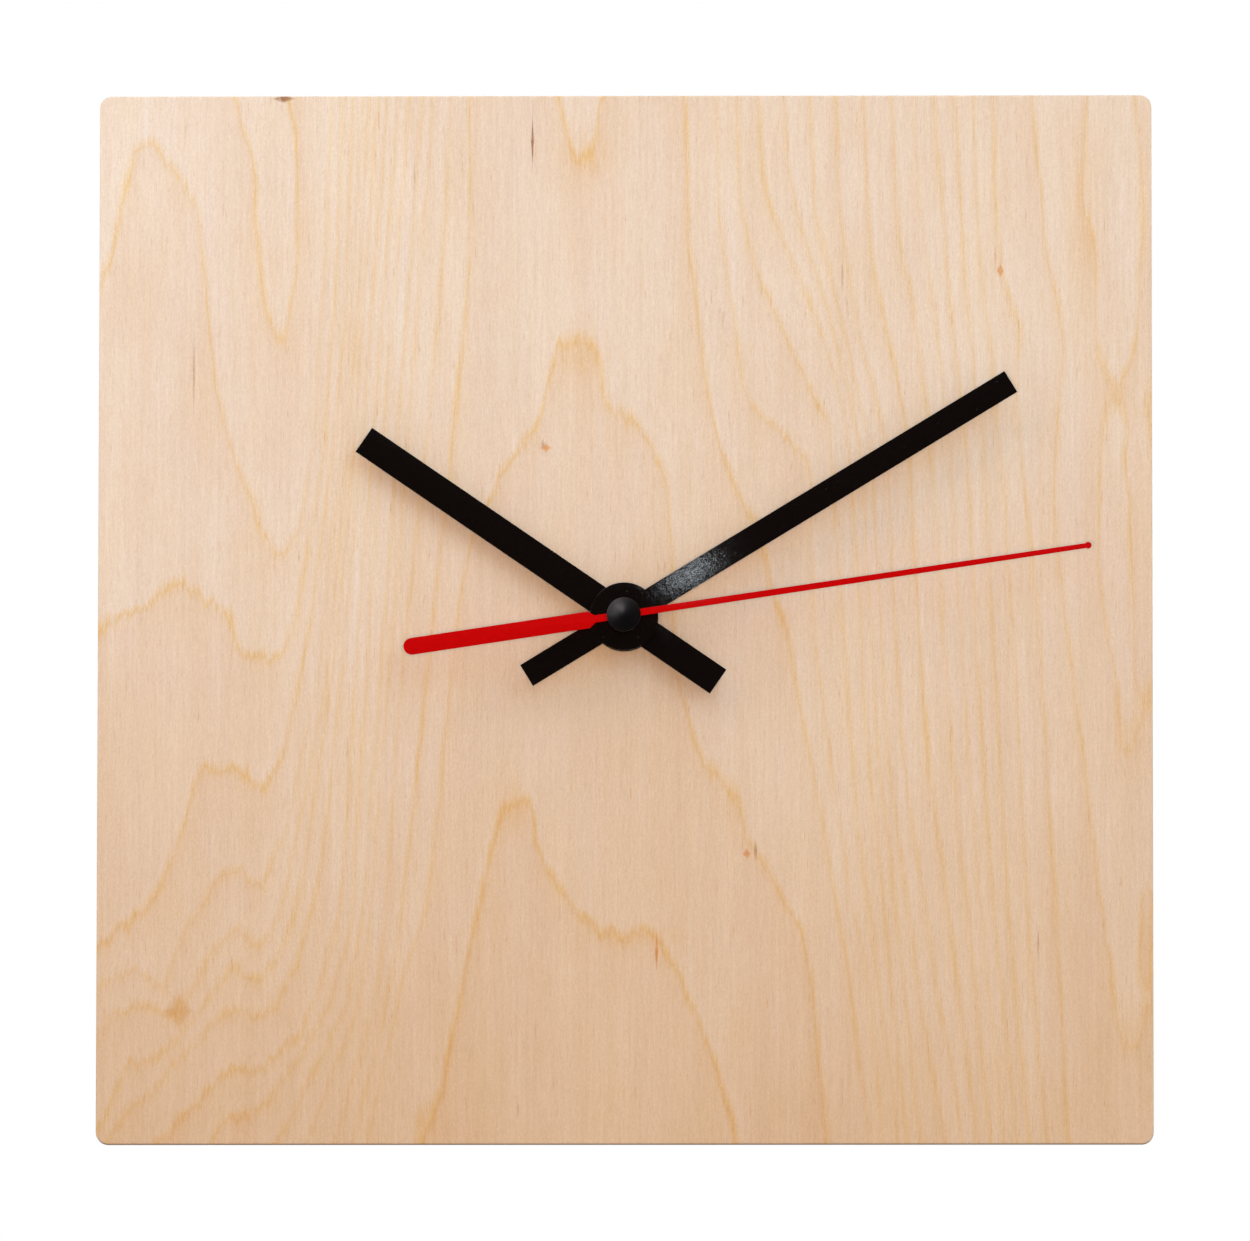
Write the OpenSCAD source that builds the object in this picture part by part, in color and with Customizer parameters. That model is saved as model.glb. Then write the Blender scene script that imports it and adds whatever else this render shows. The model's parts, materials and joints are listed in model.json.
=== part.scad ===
// Square plywood wall clock with a battery movement.
// +Z is up, +Y points into the wall and the dial faces -Y.
// The origin is the centre of the hanger's round hole, on the wall plane y = 0.

/* [Board] */
// Side of the square plywood board
board_w = 300; // [240:5:360]
// Thickness of the board, three plies
board_t = 4; // [3:0.5:7]
// Radius of the board's corners
board_r = 3.4; // [1:0.2:10]

/* [Hands] */
// Hour hand, clockwise from twelve
hour_angle = 304.5; // [0:0.1:359.9]
// Minute hand, clockwise from twelve
minute_angle = 58.6; // [0:0.1:359.9]
// Second hand, clockwise from twelve
second_angle = 81.5; // [0:0.1:359.9]
// Hour hand, axis to tip
hour_reach = 90; // [60:1:110]
// Minute hand, axis to tip
minute_reach = 128.8; // [80:0.2:145]
// Second hand, axis to tip
second_reach = 134.2; // [80:0.2:145]
// Hour and minute hands, axis to tail
bar_tail = 32.4; // [20:0.1:50]
// Second hand, axis to tail
second_tail = 63.2; // [30:0.2:80]
// Width of the hour hand
hour_w = 8.3; // [4:0.1:12]
// Width of the minute hand
minute_w = 7; // [3:0.1:10]
// Diameter of the discs round the hands' holes
hub_d = 19.4; // [16:0.1:24]
// Diameter of the centre cap
cap_d = 9.7; // [7:0.1:12]

/* [Movement] */
// Side of the square movement case
case_w = 56; // [56:0.5:60]
// Depth of the movement case
case_t = 16; // [16:0.5:20]
// Height of the hanger's hole above the hands' axis
hang_drop = 40; // [39:0.5:60]

/* [Gears] */
// Leaves of the rotor pinion, which makes 30 turns a minute
rotor_z = 10; // [10]
// Teeth of the fifth wheel
fifth_z = 50; // [50]
// Leaves of the fifth pinion
fifth_pinion_z = 10; // [10]
// Teeth of the seconds wheel
seconds_z = 60; // [60]
// Leaves of the seconds pinion
seconds_pinion_z = 8; // [8]
// Teeth of the third wheel
third_z = 60; // [60]
// Leaves of the third pinion
third_pinion_z = 8; // [8]
// Teeth of the centre wheel
centre_z = 64; // [64]
// Leaves of the cannon pinion
cannon_z = 12; // [12]
// Teeth of the setting wheel
setting_z = 36; // [36]
// Leaves of the setting pinion
setting_pinion_z = 10; // [10]
// Teeth of the hour wheel
hour_z = 40; // [40]

/* [Hidden] */
$fn = 72;

// Clearances
run_gap = 0.05;   // on the radius, between a shaft and the bore it turns in
slip_gap = 0.15;  // on the radius, between a fixed piece and the hole it passes
part_gap = 0.3;   // along the axis, between pieces that turn past each other
over = 1;         // how far a cut runs past the face it opens

// Shafts, as radii
seconds_r = 0.5;
minute_bore_r = seconds_r + run_gap;
minute_tube_r = 1.6;
hour_bore_r = minute_tube_r + run_gap;
hour_tube_r = 2.5;
bushing_bore_r = hour_tube_r + run_gap;
bushing_r = 4;
bushing_base_r = 5.2;
arbor_r = 0.65;
pivot_r = 0.4;
pivot_bore_r = pivot_r + run_gap;
setting_r = 1.4;
setting_bore_r = setting_r + run_gap;

// Behind the dial, as y
wall = 1.2;
front_wall = 1;
cover_t = 1.2;
hanger_t = 0.8;
rubber_t = 1;
washer_t = 0.5;
nut_t = 2;
case_front = -case_t;
chamber_front = case_front + front_wall;
cover_front = -cover_t;
hanger_front = case_front - hanger_t;
// The board's middle, right of and above the hands' axis, because its hole is drilled by hand
board_shift = [0.15, 0.35];
board_rear = hanger_front - rubber_t;
board_front = board_rear - board_t;
nut_rear = board_front - washer_t;
nut_front = nut_rear - nut_t;
bushing_tip = nut_front - 0.4;
thread_pitch = 0.75;
thread_depth = 0.35;
nut_flats = 12;
washer_r = 7;
rubber_r = 10;

// In front of the nut, as y
sheet_t = 0.6;
hour_collet_t = 0.9;
minute_collet_t = 1.3;
hour_rear = bushing_tip - part_gap - hour_collet_t;
hour_front = hour_rear - sheet_t;
hour_tip = hour_front - 0.6;
minute_rear = hour_tip - part_gap - minute_collet_t;
minute_front = minute_rear - sheet_t;
minute_nut_t = 1.8;
minute_nut_flats = 5.5;
minute_tip = minute_front - minute_nut_t - 0.4;
second_t = 0.4;
second_tube_t = 1.4;
second_rear = minute_tip - part_gap - second_tube_t;
second_front = second_rear - second_t;
second_tube_r = 1.1;
second_tube_tip = second_front - 0.6;
seconds_tip = second_tube_tip - 0.6;
cap_side = 1;
cap_rise = 2;
cap_edge_r = 0.35;
hour_collet_r = 3.8;
minute_collet_r = 2.8;
second_flange_r = 2;
second_flange_t = 0.5;

// Outline of the second hand
blade_root = 2;
blade_end = 1.4;
blade_tip_r = 0.95;
blade_eye_r = 2.6;
neck_w = 2.1;
neck_end = 8.2;
shoulder_end = 10;
weight_w = 4.8;

// Levels of the train: the front face of each gear
gear_t = 0.8;
motion_t = 1;
hour_level = case_front + 1.3;
cannon_level = hour_level + motion_t + part_gap;
centre_level = cannon_level + motion_t + part_gap;
plate_front = centre_level + gear_t + part_gap;
plate_t = 1;
plate_rear = plate_front + plate_t;
third_level = plate_rear + part_gap;
seconds_level = third_level + gear_t + part_gap;
fifth_level = seconds_level + gear_t + part_gap;
magnet_front = fifth_level + gear_t + 0.4;
magnet_t = 2;
magnet_rear = magnet_front + magnet_t;
pivot_front = case_front + 0.3;
boss_front = -3.5;
pivot_rear = -1.6;

// Arbors, across the dial from the hands' axis
function polar(r, a) = [r * cos(a), r * sin(a)];
third_d = 11.4;
third_a = 125;
third_at = polar(third_d, third_a);
setting_d = 12.4;
setting_a = 35;
setting_at = polar(setting_d, setting_a);
fifth_d = 9.1;
fifth_a = -20;
fifth_at = polar(fifth_d, fifth_a);
rotor_d = 6.6;
rotor_a = -10;
rotor_at = fifth_at + polar(rotor_d, rotor_a);

// Modules, each from a centre distance and the teeth that share it
function module_of(d, za, zb) = 2 * d / (za + zb);
rotor_m = module_of(rotor_d, rotor_z, fifth_z);
fifth_m = module_of(fifth_d, fifth_pinion_z, seconds_z);
third_m = module_of(third_d, seconds_pinion_z, third_z);
centre_m = module_of(third_d, third_pinion_z, centre_z);
cannon_m = module_of(setting_d, cannon_z, setting_z);
hour_m = module_of(setting_d, setting_pinion_z, hour_z);

// Teeth as shares: of the pitch along the pitch circle, and of the module above and below it
wheel_share = 0.45;
leaf_share = 0.36;
wheel_top = 0.95;
leaf_top = 0.8;
wheel_root = 1.2;
leaf_root = 1.3;

// Battery bay and cell
inner = case_w / 2 - wall;
bay_top = -12;
partition_t = 1.2;
chamber_bottom = bay_top + partition_t;
cell_r = 7.1;
cell_at = [chamber_front + 0.25 + cell_r, bay_top - 0.3 - cell_r];
cell_left = -24.5;
cell_right = 24.4;
nub_r = 2.7;
nub_t = 1;
sleeve_t = 0.15;
sleeve_inset = 0.3;

// Contact strips
strip_t = 0.4;
strip_y = [cell_at[0] - 1.4, cell_at[0] + 1.6];
strip_low = -23;
strip_up = -15.5;
contact_gap = 0.1;
slot_gap = 0.1;

// Circuit board
pcb_y = [-6, -5.2];
pcb_low = 20.8;
pcb_high = 26.2;
pcb_left = -25.2;
pcb_right = 24.2;
pcb_block_right = -6;
pcb_block_low = 14;
pcb_pegs = [[-22.5, 24], [-22.5, 15.8], [21.6, 24]];
chip_at = [-15, 19.5];
crystal_at = [-2, 23.5];

// Coil, core and stator
coil_at = [21.4, -6.1];
coil_low = 3;
coil_high = 16.7;
coil_flange_t = 0.8;
coil_flange_r = 3.2;
coil_tube_r = 1.9;
winding_r = 2.95;
core_w = 3;
core_y = [-6.5, -5.7];
core_low = -0.8;
core_high = 20.5;
stator_y = [-5.7, -4.9];
stator_hole_r = 3.4;
stator_ring_r = 5.2;
screw_at = [[21.4, 1], [21.4, 18.7]];
screw_r = 0.8;
screw_head_r = 1.5;

// Knob and its well
knob_r = 5.5;
knob_y = [-3.5, -0.4];
knob_flutes = 24;
well_r = 6;
well_wall = 0.8;
well_floor = [-4.6, -3.8];

// Sunk panel in the rear cover, inside a raised border
panel_sink = 0.4;
panel_border = 2.5;

// Middle plate
plate_low = [-15.5, -10.3];
plate_high = [18.6, 18.8];
plate_posts = [[-14, -8.8], [-14, 17.3], [17.1, -8.8], [17.1, 17.3]];
post_r = 1.2;
peg_r = 0.7;

// Hanger
hanger_w = 16;
hanger_low = -9;
hanger_bend = case_w / 2 + 1;
hanger_top = 49;
hole_r = 4;
slot_r = 1.8;
slot_up = 4.6;

// ---------- shared shapes ----------

// What is inside is drawn round the hands' axis
module on_axis() {
    translate([0, 0, -hang_drop]) children();
}

// A flat outline as seen from the dial side, made solid between two values of y
module slab(y) {
    translate([0, y[1], 0]) rotate([90, 0, 0]) linear_extrude(height = y[1] - y[0]) children();
}

module disc(r, y, at = [0, 0]) {
    translate([at[0], y[1], at[1]]) rotate([90, 0, 0]) cylinder(r = r, h = y[1] - y[0]);
}

module tube(outer, bore, y, at = [0, 0]) {
    difference() {
        disc(outer, y, at);
        disc(bore, [y[0] - over, y[1] + over], at);
    }
}

module block(u, y, v) {
    translate([u[0], y[0], v[0]]) cube([u[1] - u[0], y[1] - y[0], v[1] - v[0]]);
}

module rounded_box(low, high, r) {
    size = high - low;
    translate([low[0] + r, low[1]]) square([size[0] - 2 * r, size[1]]);
    translate([low[0], low[1] + r]) square([size[0], size[1] - 2 * r]);
    for (u = [low[0] + r, high[0] - r])
        for (v = [low[1] + r, high[1] - r])
            translate([u, v]) circle(r = r);
}

module case_outline() {
    half = [case_w / 2, case_w / 2];
    rounded_box(-half, half, 3);
}

// The lead is the angle of the middle of one tooth.
// A tooth has radial flanks below the pitch circle and narrows to a blunt tip above it.
module teeth(z, m, lead, share, top, root) {
    r = z * m / 2;
    half = 180 / z * share;
    polygon([
        for (i = [0 : z - 1])
            let (mid = lead + i * 360 / z)
            each [
                polar(r - root * m, mid - half),
                polar(r, mid - half),
                polar(r + 0.6 * top * m, mid - 0.66 * half),
                polar(r + top * m, mid - 0.25 * half),
                polar(r + top * m, mid + 0.25 * half),
                polar(r + 0.6 * top * m, mid + 0.66 * half),
                polar(r, mid + half),
                polar(r - root * m, mid + half)
            ]
    ]);
}

// Turned so that its teeth mesh with those of a neighbour whose lead is 0.
// toward is the direction from the neighbour to this gear.
function meshed(z, z_near, toward) =
    toward + 180 + (0.5 + toward * z_near / 360) * 360 / z;

module wheel(z, m, lead, level, t, at = [0, 0]) {
    translate([at[0], 0, at[1]])
        slab([level, level + t]) teeth(z, m, lead, wheel_share, wheel_top, wheel_root);
}

module pinion(z, m, level, t, at = [0, 0]) {
    translate([at[0], 0, at[1]])
        slab([level, level + t]) teeth(z, m, 0, leaf_share, leaf_top, leaf_root);
}

// A shallow ring cut in a wheel's rear face, between its hub and its rim
module web(inner_r, outer_r, level, t, at = [0, 0]) {
    tube(outer_r, inner_r, [level + t - 0.25, level + t + 0.01], at);
}

// ---------- dial side ----------

module plywood_board() {
    color("#e6c9a6") on_axis() slab([board_front, board_rear]) difference() {
        translate(board_shift)
            rounded_box([-board_w / 2, -board_w / 2], [board_w / 2, board_w / 2], board_r);
        circle(r = bushing_r + slip_gap);
    }
}

module hex_nut() {
    color("#c9a24e") on_axis() difference() {
        disc(nut_flats / 2 / cos(30), [nut_front, nut_rear], $fn = 6);
        disc(bushing_r + run_gap, [nut_front - over, nut_rear + over]);
    }
}

module brass_washer() {
    color("#cba85a") on_axis() tube(washer_r, bushing_r + slip_gap, [nut_rear, board_front]);
}

module rubber_washer() {
    color("#222222") on_axis() tube(rubber_r, bushing_r + slip_gap, [board_rear, hanger_front]);
}

module threaded_bushing() {
    crests = floor((case_front - bushing_tip - 0.6) / thread_pitch);
    color("#b9b9b4") on_axis() difference() {
        union() {
            disc(bushing_base_r, [case_front, chamber_front]);
            disc(bushing_r, [bushing_tip, case_front]);
        }
        disc(bushing_bore_r, [bushing_tip - over, chamber_front + over]);
        for (i = [0 : crests - 1])
            translate([0, bushing_tip + 0.5 + i * thread_pitch, 0])
                rotate([90, 0, 0])
                    rotate_extrude()
                        polygon([
                            [bushing_r + 0.1, -thread_pitch * 0.42],
                            [bushing_r + 0.1, thread_pitch * 0.42],
                            [bushing_r - thread_depth, 0]
                        ]);
    }
}

// The hour and minute hands: a bar with square ends and a disc round the hole
module bar_hand(w, reach, bore, y, angle) {
    on_axis() slab(y) rotate(-angle) difference() {
        union() {
            translate([-w / 2, -bar_tail]) square([w, reach + bar_tail]);
            circle(d = hub_d);
        }
        circle(r = bore);
    }
}

module hour_hand() {
    color("#141414") bar_hand(hour_w, hour_reach, hour_tube_r, [hour_front, hour_rear], hour_angle);
}

module hour_hand_collet() {
    color("#cba85a") on_axis()
        tube(hour_collet_r, hour_tube_r, [hour_rear, hour_rear + hour_collet_t]);
}

module minute_hand() {
    color("#161616")
        bar_hand(minute_w, minute_reach, minute_tube_r, [minute_front, minute_rear], minute_angle);
}

module minute_hand_collet() {
    color("#cba85a") on_axis()
        tube(minute_collet_r, minute_tube_r, [minute_rear, minute_rear + minute_collet_t]);
}

module minute_nut() {
    color("#c9a24e") on_axis() difference() {
        disc(minute_nut_flats / 2 / cos(30), [minute_front - minute_nut_t, minute_front], $fn = 6);
        disc(minute_tube_r, [minute_front - minute_nut_t - over, minute_front + over]);
    }
}

module second_hand() {
    y = [second_front, second_rear];
    tail_centre = weight_w / 2 - second_tail;
    blade_top = second_reach - blade_tip_r;
    color("#c20d0d") on_axis() rotate([0, second_angle, 0]) difference() {
        union() {
            slab(y) polygon([
                [-blade_root / 2, 0],
                [-blade_end / 2, blade_top],
                [blade_end / 2, blade_top],
                [blade_root / 2, 0]
            ]);
            slab(y) polygon([
                [-neck_w / 2, 0],
                [neck_w / 2, 0],
                [neck_w / 2, -neck_end],
                [weight_w / 2, -shoulder_end],
                [weight_w / 2, tail_centre],
                [-weight_w / 2, tail_centre],
                [-weight_w / 2, -shoulder_end],
                [-neck_w / 2, -neck_end]
            ]);
            disc(blade_tip_r, y, [0, blade_top]);
            disc(weight_w / 2, y, [0, tail_centre]);
            disc(blade_eye_r, y);
        }
        disc(second_tube_r, [y[0] - over, y[1] + over]);
    }
}

module second_hand_tube() {
    color("#cba85a") on_axis() difference() {
        union() {
            disc(second_tube_r, [second_tube_tip, second_rear + second_tube_t]);
            disc(second_flange_r, [second_rear, second_rear + second_flange_t]);
        }
        disc(seconds_r, [second_tube_tip - over, second_rear + second_tube_t + over]);
    }
}

module second_hand_cap() {
    r = cap_d / 2;
    color("#3a3a3c") on_axis() difference() {
        translate([0, second_front, 0]) rotate([90, 0, 0]) rotate_extrude() {
            square([r, cap_side - cap_edge_r]);
            translate([r - cap_edge_r, cap_side - cap_edge_r]) circle(r = cap_edge_r);
            polygon([
                [0, cap_side - cap_edge_r],
                [r - cap_edge_r, cap_side - cap_edge_r],
                [r - cap_edge_r, cap_side],
                [0, cap_side + cap_rise]
            ]);
        }
        disc(second_tube_r, [second_tube_tip, second_front + over]);
        disc(seconds_r, [seconds_tip, second_front]);
    }
}

// ---------- case ----------

module hanger_plate() {
    half = hanger_w / 2;
    color("#c3c6c9") on_axis() difference() {
        union() {
            slab([hanger_front, case_front]) {
                translate([-half, 0]) square([hanger_w, hanger_bend + hanger_t]);
                circle(r = half);
            }
            block([-half, half], [hanger_front, 0], [hanger_bend, hanger_bend + hanger_t]);
            slab([-hanger_t, 0]) {
                translate([-half, hanger_bend]) square([hanger_w, hanger_top - half - hanger_bend]);
                translate([0, hanger_top - half]) circle(r = half);
            }
        }
        disc(bushing_r + slip_gap, [hanger_front - over, case_front + over]);
        disc(hole_r, [-hanger_t - over, over], [0, hang_drop]);
        slab([-hanger_t - over, over]) {
            translate([-slot_r, hang_drop]) square([2 * slot_r, slot_up]);
            translate([0, hang_drop + slot_up]) circle(r = slot_r);
        }
    }
}

module movement_case() {
    color("#1b1b1d") on_axis() {
        difference() {
            slab([case_front, 0]) case_outline();
            block([-inner, inner], [chamber_front, over], [chamber_bottom, inner]);
            block([-inner, inner], [chamber_front, over], [-inner, bay_top]);
            block([-case_w, case_w], [cover_front, over], [bay_top, case_w]);
            disc(bushing_base_r, [case_front - over, chamber_front + over]);
            disc(pivot_bore_r, [pivot_front, chamber_front + over], third_at);
            disc(pivot_bore_r, [pivot_front, chamber_front + over], setting_at);
            for (side = [-1, 1])
                block(
                    [side * inner - strip_t - slot_gap, side * inner + strip_t + slot_gap],
                    [strip_y[0] - slot_gap, strip_y[1] + slot_gap],
                    [bay_top - 0.01, chamber_bottom + 0.01]
                );
        }
        for (at = plate_posts) {
            disc(post_r, [chamber_front, plate_front], at);
            disc(peg_r, [plate_front, plate_rear], at);
        }
        for (at = pcb_pegs) {
            disc(post_r, [chamber_front, pcb_y[0]], at);
            disc(peg_r, [pcb_y[0], pcb_y[1]], at);
        }
        for (at = screw_at)
            tube(1.8, screw_r + run_gap, [chamber_front, core_y[0]], at);
    }
}

module rear_cover() {
    seats = [[0, 0], third_at, fifth_at, rotor_at];
    lip = inner - slot_gap;
    panel = case_w / 2 - panel_border;
    color("#232326") on_axis() difference() {
        union() {
            slab([cover_front, 0]) intersection() {
                case_outline();
                translate([-case_w, bay_top]) square([2 * case_w, case_w]);
            }
            difference() {
                block([-lip, lip], [cover_front - 1, cover_front], [chamber_bottom + slot_gap, lip]);
                block(
                    [1 - lip, lip - 1],
                    [cover_front - over - 1, cover_front],
                    [chamber_bottom + slot_gap + 1, lip - 1]
                );
            }
            disc(well_r + well_wall, [well_floor[0], cover_front], setting_at);
            for (at = seats) disc(1.6, [boss_front, cover_front], at);
        }
        slab([-panel_sink, over]) rounded_box([-panel, bay_top + panel_border], [panel, panel], 2);
        disc(well_r, [well_floor[1], over], setting_at);
        disc(setting_bore_r, [well_floor[0] - over, well_floor[1] + over], setting_at);
        disc(seconds_r + run_gap, [boss_front - over, pivot_rear + 0.1]);
        for (at = [third_at, fifth_at, rotor_at])
            disc(pivot_bore_r, [boss_front - over, pivot_rear + 0.1], at);
    }
}

module middle_plate() {
    color("#ddd9cf") on_axis() slab([plate_front, plate_rear]) difference() {
        rounded_box(plate_low, plate_high, 1.5);
        circle(r = hour_bore_r);
        translate(third_at) circle(r = 1.9);
        translate(setting_at) circle(r = setting_bore_r);
        translate(fifth_at) circle(r = pivot_bore_r);
        translate(rotor_at) circle(r = pivot_bore_r);
        for (at = plate_posts) translate(at) circle(r = peg_r + run_gap);
    }
}

// ---------- electric parts ----------

module circuit_board() {
    color("#2f6b3c") on_axis() slab(pcb_y) difference() {
        union() {
            translate([pcb_left, pcb_low]) square([pcb_right - pcb_left, pcb_high - pcb_low]);
            translate([pcb_left, pcb_block_low])
                square([pcb_block_right - pcb_left, pcb_high - pcb_block_low]);
        }
        for (at = pcb_pegs) translate(at) circle(r = peg_r + run_gap);
    }
}

module controller_chip() {
    base = pcb_y[1];
    color("#17171a") on_axis() translate([chip_at[0], base, chip_at[1]]) rotate([-90, 0, 0])
        rotate_extrude() polygon([[0, 0], [4, 0], [3.7, 0.4], [2.9, 0.8], [1.6, 1.05], [0, 1.1]]);
}

module quartz_crystal() {
    can_r = 1;
    can_l = 6;
    lead_r = 0.2;
    lead_l = 1.6;
    lift = pcb_y[1] + can_r;
    color("#c9ccd0") on_axis() translate([crystal_at[0], 0, crystal_at[1]]) {
        translate([0, lift, 0]) rotate([0, 90, 0]) cylinder(r = can_r, h = can_l);
        for (v = [-0.4, 0.4]) {
            translate([-lead_l, lift, v]) rotate([0, 90, 0]) cylinder(r = lead_r, h = lead_l + 0.2);
            disc(lead_r, [pcb_y[1], lift], [-lead_l, v]);
            translate([-lead_l, lift, v]) sphere(r = lead_r);
        }
    }
}

// Round pieces on the coil's axis, which runs up and down
module on_coil(r, v) {
    translate([coil_at[0], coil_at[1], v[0]]) cylinder(r = r, h = v[1] - v[0]);
}

module coil_bobbin() {
    half = core_w / 2 + run_gap;
    color("#d8d2c2") on_axis() difference() {
        union() {
            on_coil(coil_tube_r, [coil_low, coil_high]);
            on_coil(coil_flange_r, [coil_low, coil_low + coil_flange_t]);
            on_coil(coil_flange_r, [coil_high - coil_flange_t, coil_high]);
        }
        block(
            [coil_at[0] - half, coil_at[0] + half],
            [core_y[0] - run_gap, core_y[1] + run_gap],
            [coil_low - over, coil_high + over]
        );
    }
}

module coil_winding() {
    span = [coil_low + coil_flange_t, coil_high - coil_flange_t];
    color("#b3622d") on_axis() difference() {
        on_coil(winding_r, span);
        on_coil(coil_tube_r, [span[0] - over, span[1] + over]);
    }
}

module coil_core() {
    half = core_w / 2;
    color("#9a9da1") on_axis() slab(core_y) difference() {
        translate([coil_at[0] - half, core_low]) square([core_w, core_high - core_low]);
        for (at = screw_at) translate(at) circle(r = screw_r + run_gap);
    }
}

module stator_plate() {
    right = coil_at[0] + core_w / 2;
    leg = [13.4, 16.8];
    color("#a8abaf") on_axis() slab(stator_y) difference() {
        union() {
            translate(rotor_at) circle(r = stator_ring_r);
            translate([rotor_at[0] + 1, core_low]) square([right - rotor_at[0] - 1, 3.4]);
            translate([leg[0], -1]) square([leg[1] - leg[0], core_high + 1]);
            translate([leg[0], 17.2]) square([right - leg[0], core_high - 17.2]);
        }
        translate(rotor_at) circle(r = stator_hole_r);
        for (a = [70, 250])
            translate(rotor_at + polar(stator_ring_r + 0.3, a)) circle(r = 1.2);
        for (at = screw_at) translate(at) circle(r = screw_r + run_gap);
    }
}

module stator_screws() {
    color("#c3c6c9") on_axis() for (at = screw_at) difference() {
        union() {
            disc(screw_r, [stator_y[1] - 4, stator_y[1]], at);
            disc(screw_head_r, [stator_y[1], stator_y[1] + 0.9], at);
        }
        block([at[0] - 2, at[0] + 2], [stator_y[1] + 0.5, stator_y[1] + 2], [at[1] - 0.2, at[1] + 0.2]);
    }
}

module positive_contact() {
    leaf = cell_right + nub_t + contact_gap;
    tab_v = [21.6, 23.6];
    color("#c8cacb") on_axis() {
        block([inner - strip_t, inner], strip_y, [strip_low, tab_v[1]]);
        block([leaf, inner - strip_t], strip_y, [strip_low, strip_low + strip_t]);
        block([leaf, leaf + strip_t], strip_y, [strip_low + strip_t, strip_up]);
        block([pcb_right - 0.9, inner - strip_t], [pcb_y[0] - strip_t, pcb_y[0]], tab_v);
    }
}

module negative_contact() {
    leaf = cell_left - contact_gap;
    low = strip_low;
    tab_v = [17, 19];
    color("#c8cacb") on_axis() {
        block([-inner, strip_t - inner], strip_y, [low, tab_v[1]]);
        slab(strip_y) polygon([
            [-inner + strip_t, low],
            [leaf - 0.35, -21.2],
            [leaf, -19.4],
            [leaf - 0.35, -17.6],
            [-inner + strip_t + 0.15, -15.6],
            [-inner + strip_t + 0.05, -15.9],
            [leaf - strip_t - 0.35, -17.8],
            [leaf - strip_t, -19.4],
            [leaf - strip_t - 0.35, -21],
            [-inner + strip_t, low + 0.6]
        ]);
        block([strip_t - inner, pcb_left + 0.9], [pcb_y[0] - strip_t, pcb_y[0]], tab_v);
    }
}

// Round pieces on the battery's axis, which runs left to right
module on_cell(r, u) {
    translate([u[0], cell_at[0], cell_at[1]]) rotate([0, 90, 0]) cylinder(r = r, h = u[1] - u[0]);
}

module battery_cell() {
    color("#b8bbbe") on_axis() {
        on_cell(cell_r - sleeve_t, [cell_left, cell_right]);
        on_cell(nub_r, [cell_right, cell_right + nub_t]);
    }
}

module battery_sleeve() {
    span = [cell_left + sleeve_inset, cell_right - sleeve_inset];
    color("#3d7a4a") on_axis() difference() {
        on_cell(cell_r, span);
        on_cell(cell_r - sleeve_t, [span[0] - over, span[1] + over]);
    }
}

// ---------- wheels ----------

module rotor_magnet() {
    color("#4a4a4e") on_axis() tube(3, arbor_r, [magnet_front, magnet_rear], rotor_at);
}

module rotor_pinion() {
    color("#e8e4da") on_axis() {
        pinion(rotor_z, rotor_m, fifth_level, gear_t, rotor_at);
        disc(arbor_r, [plate_rear + 0.1, boss_front - 0.2], rotor_at);
        disc(pivot_r, [plate_front + 0.1, pivot_rear], rotor_at);
    }
}

module fifth_wheel() {
    lead = meshed(fifth_z, rotor_z, rotor_a + 180);
    r = fifth_z * fifth_m / 2;
    color("#f0ece2") on_axis() difference() {
        union() {
            wheel(fifth_z, rotor_m, lead, fifth_level, gear_t, fifth_at);
            pinion(fifth_pinion_z, fifth_m, seconds_level, gear_t, fifth_at);
            disc(0.9, [seconds_level + gear_t, fifth_level], fifth_at);
            disc(arbor_r, [plate_rear + 0.1, boss_front - 0.2], fifth_at);
            disc(pivot_r, [plate_front + 0.1, pivot_rear], fifth_at);
        }
        web(1.6, 4.5, fifth_level, gear_t, fifth_at);
    }
}

module seconds_wheel() {
    lead = meshed(seconds_z, fifth_pinion_z, fifth_a + 180);
    color("#f0ece2") on_axis() difference() {
        union() {
            wheel(seconds_z, fifth_m, lead, seconds_level, gear_t);
            pinion(seconds_pinion_z, third_m, third_level, gear_t);
            disc(1, [third_level + gear_t, seconds_level + gear_t + 0.8]);
        }
        disc(seconds_r, [third_level - over, boss_front]);
        web(1.8, 6.6, seconds_level, gear_t);
    }
}

module seconds_arbor() {
    color("#c9ccd0") on_axis() disc(seconds_r, [seconds_tip, pivot_rear]);
}

module third_wheel() {
    lead = meshed(third_z, seconds_pinion_z, third_a);
    color("#f0ece2") on_axis() difference() {
        union() {
            wheel(third_z, third_m, lead, third_level, gear_t, third_at);
            pinion(third_pinion_z, centre_m, centre_level, gear_t, third_at);
            disc(0.95, [centre_level + gear_t, third_level], third_at);
            disc(arbor_r, [chamber_front + 0.1, boss_front - 0.2], third_at);
            disc(pivot_r, [pivot_front + 0.1, pivot_rear], third_at);
        }
        web(2, 8.8, third_level, gear_t, third_at);
    }
}

module centre_wheel() {
    lead = meshed(centre_z, third_pinion_z, third_a + 180);
    color("#efe7d2") on_axis() difference() {
        wheel(centre_z, centre_m, lead, centre_level, gear_t);
        disc(minute_tube_r, [centre_level - over, centre_level + gear_t + over]);
        web(3, 9, centre_level, gear_t);
    }
}

module clutch_spring() {
    color("#cba85a") on_axis()
        tube(2.7, minute_tube_r, [centre_level - part_gap + 0.05, centre_level - 0.05]);
}

module minute_arbor() {
    color("#c9a24e") on_axis() difference() {
        union() {
            disc(minute_tube_r, [minute_tip, plate_rear - 0.1]);
            pinion(cannon_z, cannon_m, cannon_level, motion_t);
        }
        disc(minute_bore_r, [minute_tip - over, plate_rear + over]);
    }
}

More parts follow.
